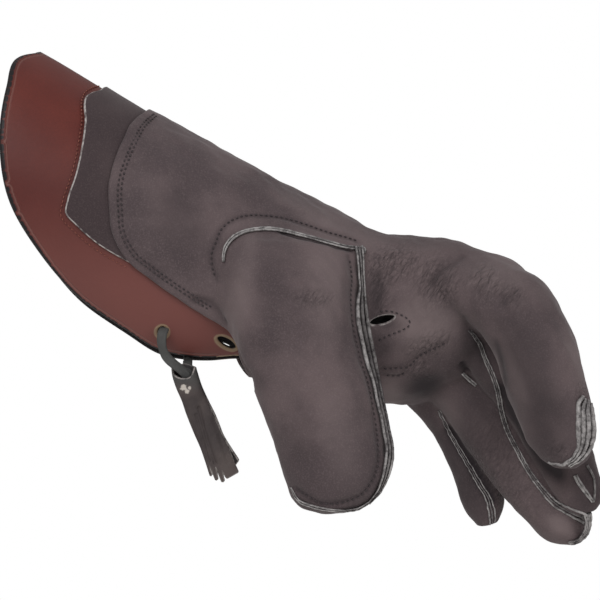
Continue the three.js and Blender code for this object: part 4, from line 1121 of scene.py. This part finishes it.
# Each ply follows the skin that the viewer sees under it
def plyBand(band, seed):
    left, right = pixelLine(band["left"], 1.0), np.asarray(band["right"], float)
    right = smoothLine(right, len(left))
    made = []
    for ply in range(band["plies"]):
        share = (ply + 0.5) / band["plies"]
        middle = left * (1 - share) + right * share
        points, _, found = skin.seen(middle + band.get("lean", (0, 0)))
        if found.sum() < 2:
            continue
        run = np.arange(len(middle))
        depth = np.maximum(np.interp(run, run[found], points[:, 1]), band.get("near", plyForm["nearest"]))
        # No place lies deeper than its neighbours allow, so a strip never drops to a surface behind
        depth = (depth[None] + plyForm["steepest"] * np.abs(run[:, None] - run[None])).min(1)
        window = np.ones(plyForm["smoothing"]) / plyForm["smoothing"]
        depth = np.convolve(np.pad(depth, plyForm["smoothing"] // 2, mode="edge"), window, mode="valid")
        path = atDepth(middle, depth)
        width = np.linalg.norm(atDepth(right, depth) - atDepth(left, depth), axis=1) / band["plies"]
        fray = band["fray"] * ripple(path, plyForm["period"], seed + ply)
        rise = band["rise"] - plyForm["lower"] * (ply % 2) + fray
        halfDepth = (rise + band["sink"]) / 2
        path[:, 1] += (band["sink"] - rise) / 2
        aside = unit(np.gradient(path, axis=0))[:, [2, 1, 0]] * [1, 0, -1]
        path += aside * (plyForm["sideways"] * fray)[:, None]
        toViewer = np.tile([0.0, -1.0, 0.0], (len(path), 1))
        halfWidth = width * band.get("fill", plyForm["fill"])
        points, faces = strip(path, toViewer, halfDepth, halfWidth, plyForm["sides"])
        # Painted shade: each ply darkens with its depth below its top, down between the plies
        top = np.repeat(path[:, 1] - halfDepth, plyForm["sides"])
        deep = np.concatenate([points[:-2, 1] - top, [1, 1]])
        tone = plyForm["innerTone"] * (0 < ply < band["plies"] - 1) * (band["plies"] == 3)
        dark = np.maximum(smoothStep(deep, plyForm["shadeFrom"], plyForm["shadeTo"]), tone)
        made.append((np.concatenate([points, dark[:, None]], -1), faces))
    return made


def makeSeams(shapes):
    for seed, (node, bands) in enumerate(shapes.items()):
        rows, faces = joined([ply for k, band in enumerate(bands) for ply in plyBand(band,
                                                                                     40 + 10 * seed + 3 * k)])
        piece = makeObject("raw_" + node, rows[:, :3], faces, [rawPlies], {"shade": rows[:, 3]})
        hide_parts(node)


makeSeams(seamShapes)
print("seams done")


# Thong: pixels, Y and the way its flat face looks, from inside the tassel through both flaps and back.
# The first rows are the strand behind the near flap, the last rows are the one in front of it.
thongShape = {
    "width": 4.2, "thickness": 1.7, "rows": [
        (189, 388, -22.6, (0, -1, 0)), (187.8, 376, -21.8, (0, -1, 0)), (187.6, 366, -18.5, (0, -1, -0.2)),
        (188, 356, -11, (0, -0.7, -0.7)), (187, 348, 4, (0, 0, -1)), (185, 346, 18, (0, 0.3, -1)),
        (179, 347, 29.5, (0, 1, -0.6)), (172, 345, 32.2, (0, 1, 0)), (169.5, 341, 31, (0, 0.7, 0.7)),
        (169.5, 339.5, 27, (0, 0, 1)), (168.5, 335, 8, (0, 0, 1)), (167.5, 330, -14, (0, 0, 1)),
        (165.8, 328.5, -25.5, (0, 0, 1)), (163.8, 330, -29.4, (0, -0.7, 0.7)), (162.3, 334, -31, (0, -1, 0)),
        (161.6, 341, -30.6, (-0.25, -1, 0)), (163, 349.5, -29, (-0.45, -0.8, -0.2)),
        (167.5, 358, -28, (-0.1, -1, 0.1)),
        (174.5, 364.5, -27.6, (0.3, -1, 0.3)), (181.5, 370, -26.6, (0.2, -1, 0.3)),
        (187, 377, -25.2, (0, -1, 0)),
        (189.5, 389, -24.8, (0, -1, 0))],
}


def makeThong(shape):
    rows = shape["rows"]
    places = np.concatenate([atDepth([row[:2]], row[2]) for row in rows])
    run = np.concatenate([[0], np.cumsum(np.linalg.norm(np.diff(places, axis=0), axis=1))])
    at = np.linspace(0, run[-1], 320)
    path = smoothRows(run, places, at)
    facing = smoothRows(run, np.array([row[3] for row in rows], float), at)
    tangent = unit(np.gradient(path, axis=0))
    aside = np.cross(tangent, facing)
    points, faces = strip(path, aside, shape["width"] / 2, shape["thickness"] / 2, 18)
    zero = np.zeros(len(points))
    piece = makeObject("leather_thong", points, faces, [thongLeather],
                       {"side": zero, "tone": zero + 1, "wornAndHighlight": zero, "shade": zero})
    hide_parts("tassel_thong")


# Tassel: one sheet rolled flat. Rows give a pixel height, the left and right edges there and half the roll's
# depth in millimetres. The front and back cuts are outlines in pixels, with the slits between the strips.
tasselShape = {
    "depth": -24.0, "thickness": 1.1,
    "rows": [(360, 171.5, 195.5, 4.9), (367, 171.3, 196.3, 4.9), (375, 172, 198.5, 4.8),
             (387, 175.7, 202.5, 4.3),
             (401, 181.7, 209, 3.5), (413, 185.8, 215, 3.0), (425, 190.5, 220, 2.7), (434, 194.2, 223.5, 2.6),
             (449, 200.7, 232.5, 2.5), (459, 204.2, 239, 2.4), (474, 209, 246, 2.2), (486, 213, 252, 2.2)],
    "front": [(150, 371), (170.5, 370), (171.5, 373), (173.5, 375.8), (176.5, 378), (180, 379.3),
              (183.5, 379.6),
              (187, 379.4), (190, 378.2), (192.3, 375.8), (193.8, 373), (194.9, 370), (195.8, 367.5),
              (206, 365),
              (206, 388), (206, 397), (208.6, 405), (212.5, 415), (218.5, 428), (223.5, 438), (229, 449),
              (234.5, 464), (238, 471.7), (227, 478), (224, 473), (221.3, 468.5), (222.3, 474),
              (223.9, 480.5),
              (222.3, 482), (220.4, 477.5), (217.5, 470), (214.8, 464.5), (215.6, 470), (217.2, 478.5),
              (215.6, 480),
              (213.6, 475), (211.6, 469), (209.3, 464.5), (209.6, 469), (211.3, 474), (209.8, 475.8),
              (206, 474),
              (190, 470)],
    "back": [(150, 365.5), (172, 366.6), (185, 364.4), (196.5, 367.3), (260, 366), (260, 452), (243, 456),
             (239.5, 459), (234.5, 465), (229, 460), (222, 455), (217, 459), (211, 455), (206, 461),
             (203, 455),
             (190, 452)],
    "furrows": [([(199, 408), (201, 417), (207, 439), (215, 463)], 0.9, 0.8),
                ([(196, 415), (198.5, 424), (205, 448), (209, 461)], 0.7, 0.7),
                ([(214, 420), (221, 440), (228, 462)], 0.4, 1.1)],
    "spots": [((183.5, 387.5), 3.0), ((187, 391.5), 2.0), ((189.5, 388), 1.5)],
}


def makeTassel(shape):
    table = np.array(shape["rows"])
    down = np.linspace(table[0, 0], table[-1, 0], 190)
    angle = np.linspace(0, 2 * np.pi, 130, endpoint=False)
    height, angle = np.meshgrid(down, angle, indexing="ij")
    left, right, halfDepth = np.moveaxis(smoothRows(table[:, 0], table[:, 1:], height), -1, 0)
    across = (left + right) / 2 + (right - left) / 2 * np.cos(angle)
    flat = np.sign(np.sin(angle)) * np.abs(np.sin(angle)) ** 0.7
    depth = shape["depth"] - halfDepth * flat
    pixels = np.stack([across, height], -1).reshape(-1, 2)
    front = np.sin(angle).ravel() > 0
    points = atDepth(pixels, depth.ravel())
    for line, amount, width in shape["furrows"]:
        weight = np.exp(-(nearest(pixels, pixelLine(line)) * viewer["pixel"] / width) ** 2)
        points[:, 1] += np.where(front, amount, 0.5 * amount) * weight
    points += 0.25 * ripple(points, 9, 21)[:, None] * [0, 1, 0]
    field = np.where(front, insideOutline(pixels, np.array(shape["front"], float)),
                     insideOutline(pixels, np.array(shape["back"], float)))
    wornAndHighlight = np.zeros(len(points))
    for middle, size in shape["spots"]:
        gap = np.linalg.norm(pixels - middle, axis=1) + 0.4 * ripple(points, 1.6, 22)
        wornAndHighlight = np.maximum(wornAndHighlight, smoothStep(gap, size + 0.6, size - 0.3) * front)
    tone = smoothStep(height.ravel(), 395, 372)
    rows, faces = trimmed(np.concatenate([points, wornAndHighlight[:, None], tone[:, None]], -1),
                          gridFaces(len(down), height.shape[1], closed=True)[:, ::-1], field)
    made, faces, side, extra = thickened(rows, faces, shape["thickness"])[:4]
    piece = makeObject("tassel_sheet", made, faces, [thongLeather],
                       {"side": side, "wornAndHighlight": extra[:, 0], "tone": extra[:, 1], "shade": np.zeros(len(made))})
    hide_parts("tassel")


makeThong(thongShape)
makeTassel(tasselShape)
print("tassel done")


# Stitches: small capsules along a line on the leather, each one arched with its ends in the leather
stitchRows = {
    "dark": {"pitch": 2.3, "length": 1.5, "radius": 0.33, "lines": [
        furrows[0]["line"], furrows[1]["line"],
        [(376, 342.5), (384, 337.5), (392, 334), (402, 330), (408.5, 326), (409.5, 321), (405, 317),
         (398, 313.5),
         (388, 311), (378, 312)],
        [(380.5, 369), (394, 368), (408.5, 366.5), (416, 359), (426, 352), (437, 347.5), (447, 342)],
        [(383, 375), (392, 375.5), (400, 375), (406, 371.5)]]},
    "rust": {"pitch": 2.0, "length": 1.4, "radius": 0.28, "lines": []},
}


def stitched(points, normals, row):
    run = np.concatenate([[0], np.cumsum(np.linalg.norm(np.diff(points, axis=0), axis=1))])
    at = np.arange(row["pitch"], run[-1], row["pitch"])
    center = smoothRows(run, points, at)
    normal = unit(smoothRows(run, normals, at))
    tangent = smoothRows(run, points, at + 0.3) - smoothRows(run, points, at - 0.3)
    tangent = unit(tangent - (tangent * normal).sum(-1, keepdims=True) * normal)
    aside = np.cross(tangent, normal)
    bend = np.linspace(-1, 1, 9)[1:-1]
    angle = np.linspace(0, 2 * np.pi, 8, endpoint=False)
    swell = row["radius"] * np.sqrt(1 - bend ** 4)[:, None]
    lengthwise = np.broadcast_to(bend[:, None] * row["length"] / 2, (len(bend), len(angle)))
    upward = swell * np.sin(angle) + row["radius"] * (0.9 - 1.2 * bend[:, None] ** 2)
    sideways = swell * np.cos(angle)
    made = []
    for k in range(len(at)):
        grid = (center[k] + lengthwise[..., None] * tangent[k] + upward[..., None] * normal[k]
                + sideways[..., None] * aside[k])
        made.append(closedTube(grid, flip=True))
    return made


# The same place on the near side of a cuff's outline moved inwards, for a row that follows its edge
def alongEdge(edge, inset, lift, last):
    line = smoothLine(edge, 300)
    way = unit(np.gradient(line, axis=0))
    line = line + inset * np.stack([-way[:, 1], way[:, 0]], -1)
    line = line[line[:, 0] < last]
    angle = nearAngle(line[:, 0], line[:, 1], lift)
    points = bodyPoint(line[:, 0], angle, lift)
    return points, bodyNormal(line[:, 0], angle)


def makeStitches(rows):
    dark = []
    for line in rows["dark"]["lines"]:
        points, normals = skin.seen(pixelLine(line, 2.0))[:2]
        dark += stitched(points, normals, rows["dark"])
    for inset in (3.4, 4.9):
        dark += stitched(*alongEdge(handShape["edge"], inset, 0.0, -30), rows["dark"])
    rust = stitched(*alongEdge(suedeShape["edge"], -2.4, gauntletLift, -70), rows["rust"])
    for name, made, material in (("dark_stitches", dark, darkThread), ("rust_stitches", rust, rustThread)):
        points, faces = joined(made)
        makeObject(name, points, faces, [material])
        print(name, len(made))


makeStitches(stitchRows)




# The viewer stands a metre in front and sees 270 mm across
view = {"across": 0.27, "sensor": 36}
camera = bpy.data.objects.new("camera", bpy.data.cameras.new("camera"))
camera.data.sensor_width = view["sensor"]
camera.data.lens = view["sensor"] / view["across"]
camera.location = viewer["eye"] / 1000
camera.rotation_euler = (np.pi / 2, 0, 0)
bpy.context.scene.collection.objects.link(camera)
bpy.context.scene.camera = camera

# Plain pale floor, well under the glove, which a forearm would hold up
studio = {"floorHeight": -0.3, "floorHalf": 1.0, "fill": 0.42,
          "lights": [("keyLight", (-0.5, -1.5, 1.0), 0.9, 17), ("fillLight", (1.0, -1.4, -0.1), 1.0, 8),
                     ("topLight", (0.1, 0.5, 1.5), 1.0, 1.5)]}
half, height = studio["floorHalf"], studio["floorHeight"]
floorMesh = bpy.data.meshes.new("floor")
floorMesh.from_pydata([(-half, -half, height), (half, -half, height), (half, half, height),
                       (-half, half, height)],
                      [], [(0, 1, 2, 3)])
floor = bpy.data.objects.new("floor", floorMesh)
bpy.context.scene.collection.objects.link(floor)
floorBoard = NodeBoard("paleFloor")
floorBoard.put(floorBoard.shader.inputs["Base Color"],
               floorBoard.mix(floorBoard.noise(3, 2), colour(244, 243, 240), colour(238, 237, 234)))
floorBoard.shader.inputs["Roughness"].default_value = 0.9
floorMesh.materials.append(floorBoard.material)

for name, place, size, power in studio["lights"]:
    lamp = bpy.data.lights.new(name, "AREA")
    lamp.energy = power
    lamp.size = size
    light = bpy.data.objects.new(name, lamp)
    light.location = place
    aim = -np.array(place)
    light.rotation_euler = (np.arccos(-aim[2] / np.linalg.norm(aim)), 0, np.arctan2(-aim[0], aim[1]))
    bpy.context.scene.collection.objects.link(light)

bpy.context.scene.view_settings.view_transform = "Standard"
world = bpy.data.worlds.new("studio")
bpy.context.scene.world = world
world.use_nodes = True
sky = world.node_tree
background = sky.nodes["Background"]
background.inputs["Color"].default_value = (1, 1, 1, 1)
seen = sky.nodes.new("ShaderNodeLightPath")
strength = sky.nodes.new("ShaderNodeMapRange")
strength.inputs["To Min"].default_value = studio["fill"]
strength.inputs["To Max"].default_value = 1.0
sky.links.new(seen.outputs["Is Camera Ray"], strength.inputs["Value"])
sky.links.new(strength.outputs["Result"], background.inputs["Strength"])
print("studio done")
